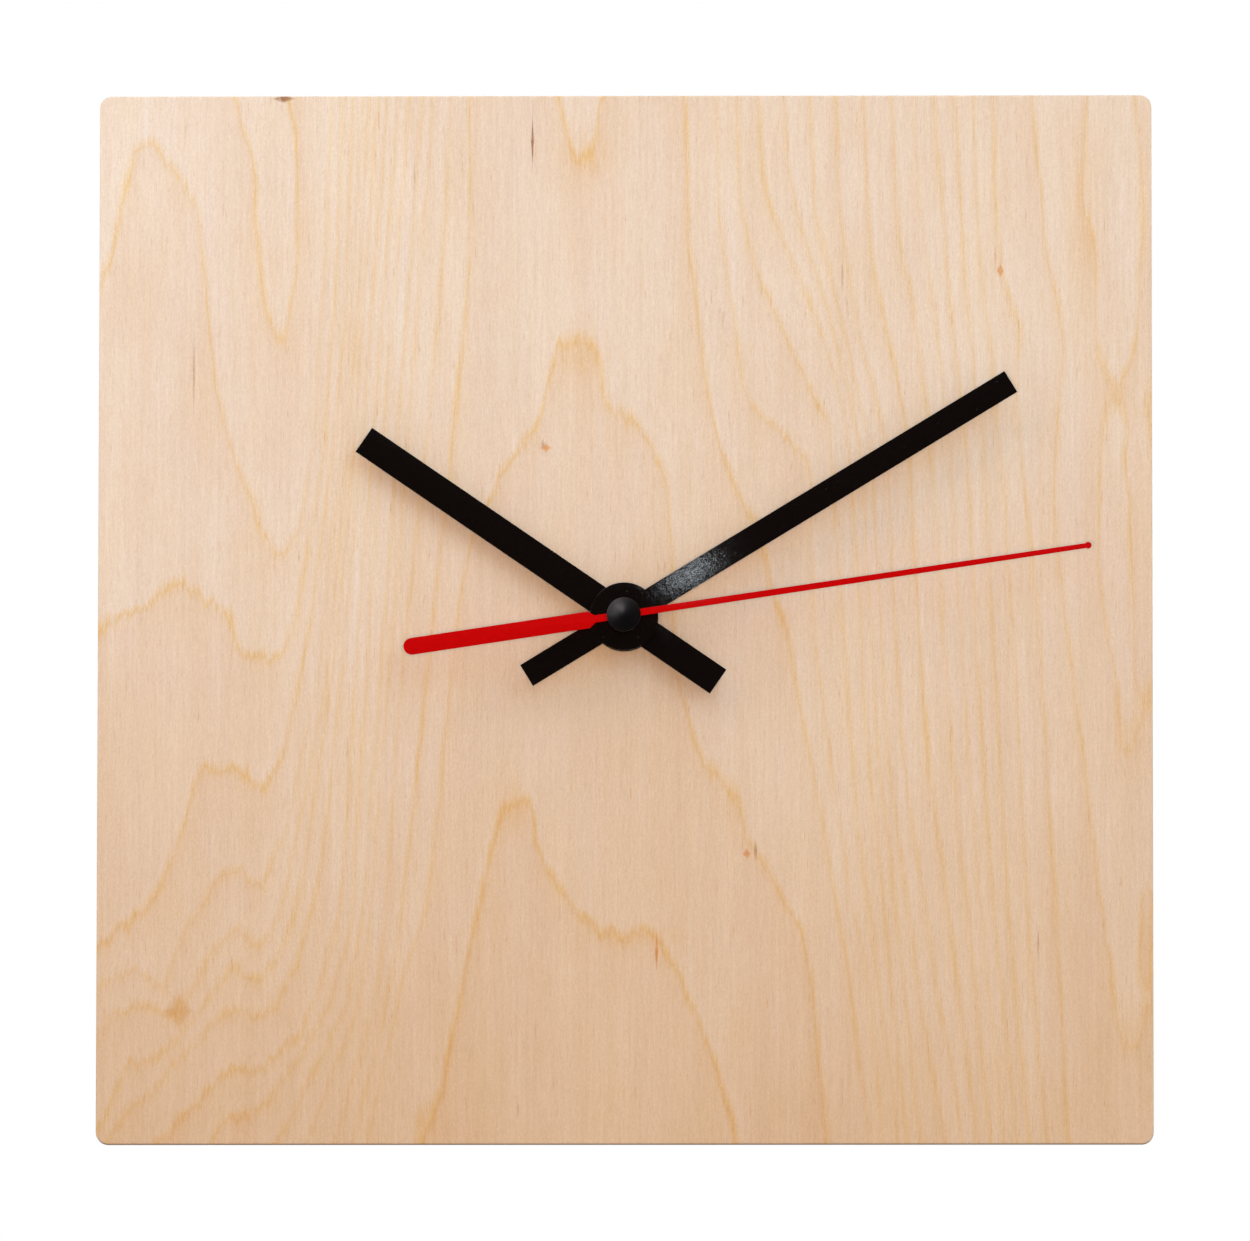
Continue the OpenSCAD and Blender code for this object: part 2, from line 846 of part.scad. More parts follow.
module setting_wheel() {
    lead = meshed(setting_z, cannon_z, setting_a);
    color("#f0ece2") on_axis() difference() {
        union() {
            wheel(setting_z, cannon_m, lead, cannon_level, motion_t, setting_at);
            pinion(setting_pinion_z, hour_m, hour_level, motion_t, setting_at);
            disc(2, [hour_level + motion_t, cannon_level], setting_at);
            disc(setting_r, [cannon_level + motion_t, knob_y[1] - 0.8], setting_at);
            disc(pivot_r, [pivot_front + 0.1, hour_level], setting_at);
        }
        web(2.6, 7.8, cannon_level, motion_t, setting_at);
    }
}

module setting_knob() {
    flute = 360 / knob_flutes;
    color("#2c2c30") on_axis() difference() {
        translate([setting_at[0], 0, setting_at[1]]) slab(knob_y) difference() {
            circle(r = knob_r);
            for (i = [0 : knob_flutes - 1])
                translate(polar(knob_r + 0.1, i * flute)) circle(r = 0.4, $fn = 16);
        }
        disc(setting_r, [knob_y[0] - over, knob_y[1] - 0.8], setting_at);
    }
}

module hour_wheel() {
    lead = meshed(hour_z, setting_pinion_z, setting_a + 180);
    color("#f0ece2") on_axis() difference() {
        union() {
            wheel(hour_z, hour_m, lead, hour_level, motion_t);
            disc(hour_tube_r, [hour_tip, hour_level]);
        }
        disc(hour_bore_r, [hour_tip - over, hour_level + motion_t + over]);
        web(3.4, 8.2, hour_level, motion_t);
    }
}

// ---------- which piece ----------

plywood_board();
hex_nut();
brass_washer();
rubber_washer();
hanger_plate();
threaded_bushing();
movement_case();
rear_cover();
middle_plate();
circuit_board();
controller_chip();
quartz_crystal();
coil_bobbin();
coil_winding();
coil_core();
stator_plate();
stator_screws();
positive_contact();
negative_contact();
battery_cell();
battery_sleeve();
rotor_magnet();
rotor_pinion();
fifth_wheel();
seconds_wheel();
seconds_arbor();
second_hand();
second_hand_tube();
second_hand_cap();
third_wheel();
centre_wheel();
clutch_spring();
minute_arbor();
minute_hand();
minute_hand_collet();
minute_nut();
setting_wheel();
setting_knob();
hour_wheel();
hour_hand();
hour_hand_collet();
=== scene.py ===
"""Square plywood wall clock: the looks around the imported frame. Metres, +Z up, the dial faces -Y."""
import json
import math

import bmesh
import bpy
import numpy as np
from mathutils import Matrix, Quaternion, Vector

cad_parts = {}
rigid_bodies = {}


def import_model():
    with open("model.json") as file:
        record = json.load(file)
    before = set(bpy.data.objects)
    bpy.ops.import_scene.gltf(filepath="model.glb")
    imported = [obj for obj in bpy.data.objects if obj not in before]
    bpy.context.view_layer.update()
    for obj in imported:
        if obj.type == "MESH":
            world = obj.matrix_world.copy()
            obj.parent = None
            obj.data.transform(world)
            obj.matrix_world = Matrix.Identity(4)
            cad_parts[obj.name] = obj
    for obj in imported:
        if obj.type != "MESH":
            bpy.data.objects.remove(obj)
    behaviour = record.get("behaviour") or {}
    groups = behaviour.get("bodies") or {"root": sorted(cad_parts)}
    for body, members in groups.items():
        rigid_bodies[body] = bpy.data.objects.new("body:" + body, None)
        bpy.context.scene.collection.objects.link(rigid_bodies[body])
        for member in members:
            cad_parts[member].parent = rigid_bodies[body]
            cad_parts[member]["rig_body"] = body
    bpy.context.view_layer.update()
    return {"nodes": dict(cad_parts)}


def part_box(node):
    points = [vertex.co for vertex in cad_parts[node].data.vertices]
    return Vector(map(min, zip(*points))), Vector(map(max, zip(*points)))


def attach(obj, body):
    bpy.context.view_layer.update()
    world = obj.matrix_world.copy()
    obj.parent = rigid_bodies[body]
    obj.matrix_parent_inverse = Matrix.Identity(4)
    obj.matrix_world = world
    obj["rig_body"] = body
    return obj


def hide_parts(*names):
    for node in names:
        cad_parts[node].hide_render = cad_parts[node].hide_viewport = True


for old in list(bpy.data.objects):
    bpy.data.objects.remove(old)

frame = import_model()
nodes = frame["nodes"]
MM = 0.001

# ---------------------------------------------------------------- node materials


class Paint:
    """One Principled material, built a node at a time. Lengths in its patterns are in millimetres."""

    def __init__(self, name, colour=None, **sockets):
        self.material = bpy.data.materials.new(name)
        self.material.use_nodes = True
        self.tree = self.material.node_tree
        self.shader = self.tree.nodes["Principled BSDF"]
        place = self.tree.nodes.new("ShaderNodeTexCoord")
        self.at = self.vector("SCALE", place.outputs["Object"], 1 / MM)
        self.normal = None
        if colour:
            self.shader.inputs["Base Color"].default_value = (*colour, 1)
        for socket, value in sockets.items():
            self.shader.inputs[socket.replace("_", " ")].default_value = value

    def node(self, kind, inputs, **settings):
        n = self.tree.nodes.new("ShaderNode" + kind)
        for key, value in settings.items():
            setattr(n, key, value)
        for key, value in inputs.items():
            self.feed(n.inputs[key], value)
        return n

    def feed(self, socket, value):
        if isinstance(value, bpy.types.NodeSocket):
            self.tree.links.new(value, socket)
        elif isinstance(value, (tuple, list)) and len(value) == 3 and socket.type == "RGBA":
            socket.default_value = (*value, 1)
        else:
            socket.default_value = value

    def math(self, operation, a, b=0.0, c=0.0, clamp=False):
        n = self.node("Math", {0: a, 1: b, 2: c}, operation=operation)
        n.use_clamp = clamp
        return n.outputs[0]

    def times(self, a, b, clamp=False):
        return self.math("MULTIPLY", a, b, clamp=clamp)

    def plus(self, a, b):
        return self.math("ADD", a, b)

    def minus(self, a, b):
        return self.math("SUBTRACT", a, b)

    def absolute(self, a):
        return self.math("ABSOLUTE", a)

    def vector(self, operation, a, b=(0, 0, 0)):
        n = self.tree.nodes.new("ShaderNodeVectorMath")
        n.operation = operation
        self.feed(n.inputs[0], a)
        self.feed(n.inputs["Scale" if operation == "SCALE" else 1], b)
        return n.outputs["Value" if operation in ("LENGTH", "DOT_PRODUCT") else "Vector"]

    def axes(self, vector=None):
        return self.node("SeparateXYZ", {0: vector or self.at}).outputs

    def noise(self, per_mm, detail=3.0, rough=0.55, at=None, shift=0.0):
        """Noise from 0 to 1. per_mm is its frequency along x, y and z."""
        scaled = self.vector("MULTIPLY", at or self.at, per_mm)
        if shift:
            scaled = self.vector("ADD", scaled, (shift, shift * 1.7, shift * 0.6))
        inputs = {"Vector": scaled, "Scale": 1.0, "Detail": detail, "Roughness": rough}
        return self.node("TexNoise", inputs).outputs["Fac"]

    def span(self, x, low, high, to_low=0.0, to_high=1.0):
        """x carried from low..high to to_low..to_high, and held at the ends."""
        limits = {"From Min": low, "From Max": high, "To Min": to_low, "To Max": to_high}
        return self.node("MapRange", {"Value": x, **limits}).outputs["Result"]

    def mix(self, share, a, b, mode="MIX"):
        n = self.tree.nodes.new("ShaderNodeMix")
        n.data_type, n.blend_type = "RGBA", mode
        self.feed(n.inputs[0], share)
        self.feed(n.inputs[6], a)
        self.feed(n.inputs[7], b)
        return n.outputs[2]

    def set(self, socket, value):
        self.feed(self.shader.inputs[socket], value)

    def bump(self, height, depth, share=1.0):
        """height from 0 to 1 stands for depth millimetres."""
        n = self.node("Bump", {"Height": height, "Strength": share, "Distance": depth * MM})
        if self.normal is not None:
            self.feed(n.inputs["Normal"], self.normal)
        self.normal = n.outputs["Normal"]
        self.set("Normal", self.normal)


def tinted(p, colour, shade, x, share):
    """Base colour that moves from colour to shade as x goes from 0 to 1."""
    p.set("Base Color", p.mix(p.times(x, share), colour, shade))


# ---------------------------------------------------------------- shapes

WELD = 1e-6  # vertices closer than this, in metres, become one
FLAT = math.radians(0.4)  # faces that meet at less than this become one


def link(name, mesh, material, body, slot, *stands_for):
    piece = bpy.data.objects.new(name, mesh)
    bpy.context.scene.collection.objects.link(piece)
    piece.data.materials.clear()
    for m in material if isinstance(material, (list, tuple)) else [material]:
        piece.data.materials.append(m)
    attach(piece, body)
    if stands_for:
        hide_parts(*stands_for)
    return piece


def smooth(mesh, angle=30.0):
    mesh.polygons.foreach_set("use_smooth", [True] * len(mesh.polygons))
    mesh.set_sharp_from_angle(angle=math.radians(angle))


def outward(mesh, weld=0.0):
    """Merges vertices closer than weld and turns every face outward."""
    bm = bmesh.new()
    bm.from_mesh(mesh)
    if weld:
        bmesh.ops.remove_doubles(bm, verts=bm.verts, dist=weld)
    bmesh.ops.recalc_face_normals(bm, faces=bm.faces)
    bm.to_mesh(mesh)
    bm.free()


def from_lists(name, verts, faces):
    mesh = bpy.data.meshes.new(name)
    mesh.from_pydata([tuple(map(float, v)) for v in verts], [], faces)
    mesh.validate()
    return mesh


def softened(name, width):
    """A copy of a CAD node's mesh with its sharp edges rounded."""
    bm = bmesh.new()
    bm.from_mesh(nodes[name].data)
    bmesh.ops.remove_doubles(bm, verts=bm.verts, dist=WELD)
    bmesh.ops.dissolve_limit(bm, angle_limit=FLAT, verts=bm.verts, edges=bm.edges, delimit=set())
    edges = [e for e in bm.edges if len(e.link_faces) == 2 and e.calc_face_angle(0) > math.radians(30)]
    bmesh.ops.bevel(
        bm, geom=edges, offset=width, offset_type="OFFSET", segments=2, profile=0.5,
        affect="EDGES", clamp_overlap=True, loop_slide=True,
    )
    mesh = bpy.data.meshes.new(name + ".soft")
    bm.to_mesh(mesh)
    bm.free()
    outward(mesh, WELD)
    smooth(mesh, 40)
    return mesh


def soft_piece(node, width, material, slot):
    piece = link(node + ".made", softened(node, width), material, nodes[node]["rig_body"], slot, node)
    # Keeps large faces flat beside small rounded edges
    piece.modifiers.new("normals", "WEIGHTED_NORMAL").keep_sharp = True


def plate(outlines, front, rear, edge, segments=3):
    """A flat sheet between two depths, cut to outlines in x and z, with rounded edges. The first outline is
    the outside and the others are holes."""
    curve = bpy.data.curves.new("outline", "CURVE")
    curve.dimensions, curve.fill_mode = "2D", "BOTH"
    curve.extrude = (rear - front) / 2 - edge
    curve.bevel_depth, curve.bevel_resolution = edge, segments
    curve.offset = -edge
    for outline in outlines:
        spline = curve.splines.new("POLY")
        spline.points.add(len(outline) - 1)
        spline.points.foreach_set("co", [c for u, v in outline for c in (u, v, 0, 1)])
        spline.use_cyclic_u = True
    holder = bpy.data.objects.new("outline", curve)
    mesh = bpy.data.meshes.new_from_object(holder)
    bpy.data.objects.remove(holder)
    bpy.data.curves.remove(curve)
    middle = (front + rear) / 2
    mesh.transform(Matrix.Translation((0, middle, 0)) @ Matrix.Rotation(math.pi / 2, 4, "X"))
    outward(mesh, 2 * WELD)
    smooth(mesh, 35)
    return mesh


def arc(r, start, end, count, centre=(0.0, 0.0)):
    """Points in count steps round part of a circle, in degrees from the first axis."""
    return [
        (centre[0] + r * math.cos(a), centre[1] + r * math.sin(a))
        for a in (math.radians(start + (end - start) * i / count) for i in range(count + 1))
    ]


def ring_outline(r, count=64):
    return arc(r, 0, 360, count)[:-1]


def turned(points, angle, centre):
    """Outline points, drawn with +v toward the tip, turned clockwise from twelve and moved to the axis."""
    a = math.radians(-angle)
    c, s = math.cos(a), math.sin(a)
    return [(centre[0] + u * c - v * s, centre[1] + u * s + v * c) for u, v in points]


def lathe(profile, axis, centre, count=96, closed=True):
    """A profile of (radius, place along the axis), turned about an axis along x or y through centre."""
    verts, faces, rows = [], [], []
    for r, along in profile:
        if r < 1e-7:
            rows.append([len(verts)])
            verts.append((0, 0, along))
            continue
        rows.append(list(range(len(verts), len(verts) + count)))
        verts += [(u, v, along) for u, v in ring_outline(r, count)]
    for a, b in zip(rows, rows[1:] + rows[:1] if closed else rows[1:]):
        for i in range(count):
            j = (i + 1) % count
            if len(a) == 1 and len(b) == 1:
                break
            if len(a) == 1:
                faces.append((a[0], b[j], b[i]))
            elif len(b) == 1:
                faces.append((a[i], a[j], b[0]))
            else:
                faces.append((a[i], a[j], b[j], b[i]))
    cx, cy, cz = centre
    if axis == "x":
        placed = [(along, cy + u, cz + v) for u, v, along in verts]
    else:
        placed = [(cx + u, along, cz + v) for u, v, along in verts]
    mesh = from_lists("lathe", placed, faces)
    outward(mesh)
    smooth(mesh, 35)
    return mesh


# ---------------------------------------------------------------- the board

# Growth rings of the face veneer: (ring number, (x, z, x, z, ...)) in mm from the board's centre. The points
# were picked by eye on the photo; a helper script turned them into mm and thinned them, so this is data.
RINGS = (
    (0,
     (-112, 150, -105, 127, -105, 113, -104, 100, -102, 89, -99, 81, -96, 89, -94, 100, -94, 139, -97,
     150)),
    (1,
     (-149, 93, -144, 119, -139, 134, -135, 137, -129, 129, -121, 116, -117, 69, -113, 54, -104, 27,
     -98, 17, -92, 29, -89, 49, -85, 114, -84, 150)),
    (2,
     (-150, -3, -132, 6, -127, 11, -117, 5, -112, -1, -109, -9, -104, -11, -100, -12, -96, -7, -94, -1,
     -86, 46, -82, 109, -81, 150)),
    (3,
     (-150, -94, -136, -83, -132, -77, -120, -42, -114, -43, -109, -42, -103, -49, -97, -38, -90, -4,
     -84, 43, -80, 83, -78, 150)),
    (4,
     (-132, -107, -127, -93, -116, -75, -112, -72, -108, -72, -105, -76, -102, -73, -96, -61, -87, -13,
     -80, 57, -75, 150)),
    (5,
     (-149, -120, -145, -113, -139, -111, -127, -111, -122, -105, -119, -98, -112, -90, -108, -89,
     -105, -93, -100, -89, -97, -79, -89, -40, -84, -11, -80, 34, -73, 150)),
    (6,
     (-148, -144, -145, -136, -141, -128, -136, -127, -129, -123, -111, -99, -107, -103, -103, -102,
     -98, -95, -94, -84, -91, -71, -83, -11, -78, 40, -71, 150)),
    (7,
     (-146, -147, -140, -139, -134, -135, -128, -127, -115, -114, -109, -111, -104, -113, -99, -109,
     -93, -97, -88, -80, -84, -51, -75, 51, -68, 150)),
    (8,
     (-131, -149, -113, -129, -107, -129, -102, -128, -92, -119, -88, -110, -82, -89, -80, -74, -76,
     -9, -65, 150)),
    (9, (-117, -149, -113, -143, -102, -139, -98, -134, -84, -110, -78, -89, -73, 0, -62, 150)),
    (10, (-98, -148, -94, -141, -79, -111, -74, -84, -58, 150)),
    (11, (-90, -149, -76, -111, -73, -91, -55, 150)),
    (12, (-82, -149, -71, -111, -68, -89, -64, -20, -55, 69, -51, 120, -50, 150)),
    (13, (-77, -149, -72, -130, -64, -89, -46, 83, -44, 111, -45, 150)),
    (14,
     (-73, -149, -63, -102, -57, -85, -55, -74, -49, -10, -47, 6, -45, 17, -42, 27, -34, 44, -25, 56,
     -22, 68, -20, 74, -14, 79, -8, 75, -6, 63, 6, 51, 9, 47, 12, 39, 15, -19, 20, -38, 25, -45, 29,
     -48, 33, -55, 36, -64, 50, -91, 53, -102, 58, -149)),
    (15,
     (-55, -149, -45, -99, -36, -59, -33, -53, -29, -52, -26, -56, -25, -64, -15, -83, -1, -91, 6, -89,
     14, -100, 18, -107, 26, -126, 32, -148)),
    (13, (-18, 149, -15, 134, -13, 130, -10, 131, -8, 136, -6, 149)),
    (13, (17, 150, 18, 106, 23, 66, 26, 51, 33, 34, 38, 28, 41, 17, 42, 8, 46, -2, 63, -97, 70, -149)),
    (12, (26, 150, 27, 114, 34, 67, 37, 60, 50, 48, 53, 41, 54, -6, 64, -79, 70, -106, 73, -149)),
    (11, (32, 150, 33, 119, 36, 105, 39, 95, 58, 54, 67, -66, 78, -149)),
    (10, (38, 150, 39, 130, 41, 118, 53, 90, 61, 67, 63, 54, 65, 34, 69, -34, 80, -149)),
    (8, (53, 150, 54, 117, 70, 49, 75, -40, 80, -80, 84, -111, 91, -149)),
    (5, (76, 150, 77, 120, 79, 102, 82, 91, 87, 54, 93, -40, 104, -149)),
    (2, (94, 150, 97, 94, 102, 49, 109, -86, 115, -149)),
    (0, (105, 150, 106, 110, 107, 99, 113, 82, 111, 63, 118, -6, 126, -149)),
    (-1, (116, 150, 120, 106, 125, 81, 122, 34, 124, 14, 137, -96, 143, -124, 149, -77)),
    (-2, (132, 150, 130, 119, 133, 110, 135, 77, 138, 66, 142, 63, 145, 71, 149, 150)),
    (-2, (137, 56, 136, 50, 135, 14, 142, -38, 144, -27, 144, -6, 143, 34, 141, 47)),
)
# Ring numbers between the rings, which hold the wide plain areas level
BETWEEN = (
    (-0.5, (136, -149, 141, -137, 146, -140)),
    (1.4, (-146, 57, -146, 29, -135, 83, -135, 49, -132, 23)),
    (-0.4, (-103, 143, -99, 120, -99, 97)),
    (0.5, (-146, 146, -132, 149, -117, 134, -109, 91)),
    (15.6, (-36, -146, -30, -97, -7, -137, 10, -146, -18, -114)),
    (14.45, (-18, 40, -18, 6, -18, -34, -1, -69, 21, -80, -41, -51, -50, -109, 38, -143, 4, 0)),
    (13.5, (-30, 106, -13, 106, 4, 106, -36, 149, 4, 143, -41, 63, 16, 63)),
    (-2.35, (138, 120, 139, 86, 139, 29, 140, 0)),
)
RING_STRETCH = 0.45  # distance along the fibres counts this much
RING_SOFT = 2.0  # rounds the field over each point, in mm
RING_SLACK = 0.3  # how loosely the field follows the points
RING_STEP = 7.0  # rings are sampled this often, in mm
LEAST_SLOPE = 0.02  # rings per mm; keeps the distance between rings finite

board_low, board_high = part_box("plywood_board")
board_mid = (board_low + board_high) / 2
board_half = (board_high.x - board_low.x) / 2
dial_y, wall_y = board_low.y, board_high.y
arbor = sum(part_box("seconds_arbor"), Vector()) / 2
axis_at = (arbor.x, arbor.z)


def ring_samples():
    rows = []
    for level, flat in RINGS:
        points = np.array(flat, float).reshape(-1, 2)
        for a, b in zip(points, points[1:]):
            steps = max(1, round(float(np.hypot(*(b - a))) / RING_STEP))
            rows += [(*(a + (b - a) * k / steps), level) for k in range(steps)]
        rows.append((*points[-1], level))
    for level, flat in BETWEEN:
        rows += [(*p, level) for p in np.array(flat, float).reshape(-1, 2)]
    return np.array(rows)


def ring_kernel(dx, dz):
    return np.sqrt(dx**2 + (RING_STRETCH * dz) ** 2 + RING_SOFT**2)


def fit_rings():
    """A smooth height field whose whole numbers are the growth rings."""
    x, z, level = ring_samples().T
    n = len(x)
    system = np.zeros((n + 3, n + 3))
    system[:n, :n] = ring_kernel(x[:, None] - x, z[:, None] - z) - RING_SLACK * np.eye(n)
    system[:n, n:] = np.stack([np.ones(n), x, z], 1)
    system[n:, :n] = system[:n, n:].T
    weights = np.linalg.solve(system, np.concatenate([level, np.zeros(3)]))
    return x, z, weights


def dial_rings(x, z, fit):
    """Height and its slopes along x and z, per mm."""
    cx, cz, w = fit
    n = len(cx)
    height = np.full(len(x), w[n]) + w[n + 1] * x + w[n + 2] * z
    slope_x, slope_z = np.full(len(x), w[n + 1]), np.full(len(x), w[n + 2])
    for i in range(n):
        dx, dz = x - cx[i], z - cz[i]
        r = ring_kernel(dx, dz)
        height += w[i] * r
        slope_x += w[i] * dx / r
        slope_z += w[i] * dz * RING_STRETCH**2 / r
    return height, slope_x, slope_z


def wall_rings(x, z):
    """The rear veneer: two tall arches in near-straight grain."""
    def height(x, z):
        left = 3.2 * np.exp(-(((x + 52 + 0.05 * z) / 30) ** 2)) * (1.6 - z / 190)
        right = 2.1 * np.exp(-(((x - 70 - 0.04 * z) / 22) ** 2)) * (1.4 + z / 210)
        return left + right + 0.11 * (x + 9 * np.sin(z / 75) + 3 * np.sin(z / 31 + 1)) + 0.3 * np.sin(x / 7)

    h = height(x, z)
    return h, (height(x + 0.1, z) - h) / 0.1, (height(x, z + 0.1) - h) / 0.1


BOARD_CORNER, BOARD_EDGE, HOLE_RADIUS = 3.4 * MM, 0.22 * MM, 4.15 * MM
CELLS = 170  # grid cells along a face
CORNER_STEPS = 8
HOLE_CELLS = 4  # grid cells from the middle to the side of the square round the hole


def board_grid():
    reach = board_half - BOARD_CORNER
    return np.linspace(-reach, reach, CELLS + 1)


def board_section():
    """(inset, y) round the board's edge, from the dial to the wall, with a groove at each glue line."""
    ply = (wall_y - dial_y) / 3
    round_edge = [math.radians(a) for a in (0, 30, 60, 90)]
    flats = (1.7 * MM, 0.6 * MM)
    groove = ((0, -0.12 * MM), (0.05 * MM, -0.03 * MM), (0.05 * MM, 0.03 * MM), (0, 0.12 * MM))
    rows = [(inset, dial_y) for inset in flats]
    rows += [(BOARD_EDGE * (1 - math.sin(a)), dial_y + BOARD_EDGE * (1 - math.cos(a))) for a in round_edge]
    rows += [(inset, dial_y + glue * ply + off) for glue in (1, 2) for inset, off in groove]
    rows += [(BOARD_EDGE * (1 - math.cos(a)), wall_y - BOARD_EDGE * (1 - math.sin(a))) for a in round_edge]
    return rows + [(inset, wall_y) for inset in reversed(flats)]


def board_loop(inset, y):
    """Points round the board with its rounded corners, drawn in by inset."""
    reach = board_half - BOARD_CORNER
    points = []
    for side in range(4):
        turn = Matrix.Rotation(side * math.pi / 2, 2)
        points += [turn @ Vector((u, inset - board_half)) for u in board_grid()]
        centre = turn @ Vector((reach, -reach))
        points += arc(BOARD_CORNER - inset, -90 + 90 * side, 90 * side, CORNER_STEPS, centre)[1:-1]
    return [(board_mid.x + u, y, board_mid.z + v) for u, v in points]


def board_mesh():
    """The board, with faces gridded finely enough to hold the rings. Material 0 is a face and 1 an edge."""
    verts, faces, kind = [], [], []

    def add(points):
        start = len(verts)
        verts.extend(points)
        return list(range(start, len(verts)))

    def face(corners, material=0, turn=False):
        faces.append(tuple(int(i) for i in (corners[::-1] if turn else corners)))
        kind.append(material)

    loops = [add(board_loop(inset, y)) for inset, y in board_section()]
    count = len(loops[0])
    for j, (a, b) in enumerate(zip(loops, loops[1:])):
        on_face = j < 2 or j >= len(loops) - 3
        for i in range(count):
            m = (i + 1) % count
            face((a[i], a[m], b[m], b[i]), 0 if on_face else 1)

    side_len = CELLS + CORNER_STEPS
    low, high = CELLS // 2 - HOLE_CELLS, CELLS // 2 + HOLE_CELLS
    circles = []
    for y, ring, turn in ((dial_y, loops[0], False), (wall_y, loops[-1], True)):
        spots = [(board_mid.x + u, y, board_mid.z + v) for v in board_grid() for u in board_grid()]
        ids = np.array(add(spots)).reshape(CELLS + 1, CELLS + 1)
        for side, inner in enumerate((ids[0, :], ids[:, -1], ids[-1, ::-1], ids[::-1, 0])):
            base = side * side_len
            for i in range(CELLS):
                face((ring[base + i], inner[i], inner[i + 1], ring[base + i + 1]), turn=turn)
            for i in range(CELLS, side_len):
                face((ring[(base + i) % count], inner[-1], ring[(base + i + 1) % count]), turn=turn)
        for row in range(CELLS):
            for col in range(CELLS):
                cell = ids[row:row + 2, col:col + 2]
                if not (low <= row < high and low <= col < high):
                    face((cell[0, 0], cell[1, 0], cell[1, 1], cell[0, 1]), turn=turn)
        rim = [ids[low, c] for c in range(low, high)] + [ids[r, high] for r in range(low, high)]
        rim += [ids[high, c] for c in range(high, low, -1)] + [ids[r, low] for r in range(high, low, -1)]
        spots = []
        for i in rim:
            a = math.atan2(verts[i][2] - axis_at[1], verts[i][0] - axis_at[0])
            spots.append((axis_at[0] + HOLE_RADIUS * math.cos(a), y, axis_at[1] + HOLE_RADIUS * math.sin(a)))
        circle = add(spots)
        circles.append(circle)
        for i in range(len(rim)):
            m = (i + 1) % len(rim)
            face((rim[i], rim[m], circle[m], circle[i]), turn=turn)
    front_rim, rear_rim = circles
    for i in range(len(front_rim)):
        m = (i + 1) % len(front_rim)
        face((rear_rim[i], rear_rim[m], front_rim[m], front_rim[i]), 1)

    mesh = from_lists("board", verts, faces)
    mesh.polygons.foreach_set("material_index", kind)
    outward(mesh)
    smooth(mesh, 30)
    store_rings(mesh, np.array(verts))
    return mesh


def store_rings(mesh, at):
    """Keeps ring height, its slope up the board, and the mm between rings at every vertex."""
    x, z = (at[:, 0] - board_mid.x) / MM, (at[:, 2] - board_mid.z) / MM
    values = np.zeros((len(at), 3))
    front = at[:, 1] < board_mid.y
    for where, (height, slope_x, slope_z) in (
        (front, dial_rings(x[front], z[front], fit_rings())),
        (~front, wall_rings(x[~front], z[~front])),
    ):
        apart = 1 / np.maximum(np.hypot(slope_x, slope_z), LEAST_SLOPE)
        values[where] = np.stack([height, slope_z, apart], 1)
    rings = mesh.attributes.new("rings", "FLOAT_VECTOR", "POINT")
    rings.data.foreach_set("vector", values.astype(np.float32).ravel())


# The veneer's colours, the second of them deepened with painted shade, and the tints that multiply them
FACE_COOL, FACE_WARM_SHADED = (0.93, 0.812, 0.722), (0.735, 0.53, 0.366)
PALE_TINT, RING_TINT = (1.012, 1.045, 1.12), (0.98, 0.862, 0.585)
AMBER, TAN, BROWN = (0.90, 0.50, 0.18), (0.92, 0.76, 0.50), (0.46, 0.28, 0.17)
STAIN, BLUSH = (0.98, 0.88, 0.70), (0.97, 0.915, 0.88)
SMALL_MARK = 4  # mm; narrower marks are flecks and wider ones are stains
# Marks in the face veneer, in mm from the board's centre: x, z, half width, half length, strength, tint
MARKS = (
    (107.0, 99.5, 0.9, 1.9, 1.0, AMBER),
    (105.6, 103.0, 0.35, 3.6, 0.55, AMBER),
    (-22.5, 48.8, 1.6, 1.3, 0.8, AMBER),
    (-23.3, 50.0, 0.6, 1.5, 0.5, BROWN),
    (34.8, -67.4, 1.0, 1.5, 0.9, AMBER),
    (37.3, -66.6, 0.5, 3.2, 0.6, BROWN),
    (-126.5, -112.3, 3.9, 5.0, 1.0, TAN),
    (-97.5, 149.3, 3.0, 1.1, 1.0, BROWN),
    (-26.4, 137.0, 0.4, 7.5, 1.0, BROWN),
    (-122.8, 70.0, 0.4, 12.0, 0.45, BROWN),
    (9.2, -95.5, 0.45, 5.0, 1.0, AMBER),
    (117.5, -93.0, 0.35, 4.5, 0.4, BROWN),
    (-60.0, 127.0, 0.3, 5.0, 0.35, BROWN),
    (62.0, 98.0, 0.35, 5.5, 0.35, BROWN),
    (-12.7, 75.5, 7.5, 7.0, 0.9, STAIN),
    (-9.8, 133.0, 6.0, 7.0, 0.8, STAIN),
    (-31.2, -54.0, 4.5, 7.0, 0.9, STAIN),
    (4.4, -91.0, 12.0, 3.0, 0.6, STAIN),
    (132.0, 112.0, 4.5, 24.0, 0.6, STAIN),
    (-12.7, 112.0, 8.0, 34.0, 0.4, BLUSH),
)


def fibre_noise(p, x_scale, z_scale, detail=2.0, rough=0.5, shift=0.0):
    return p.noise((x_scale, x_scale, z_scale), detail, rough, shift=shift)


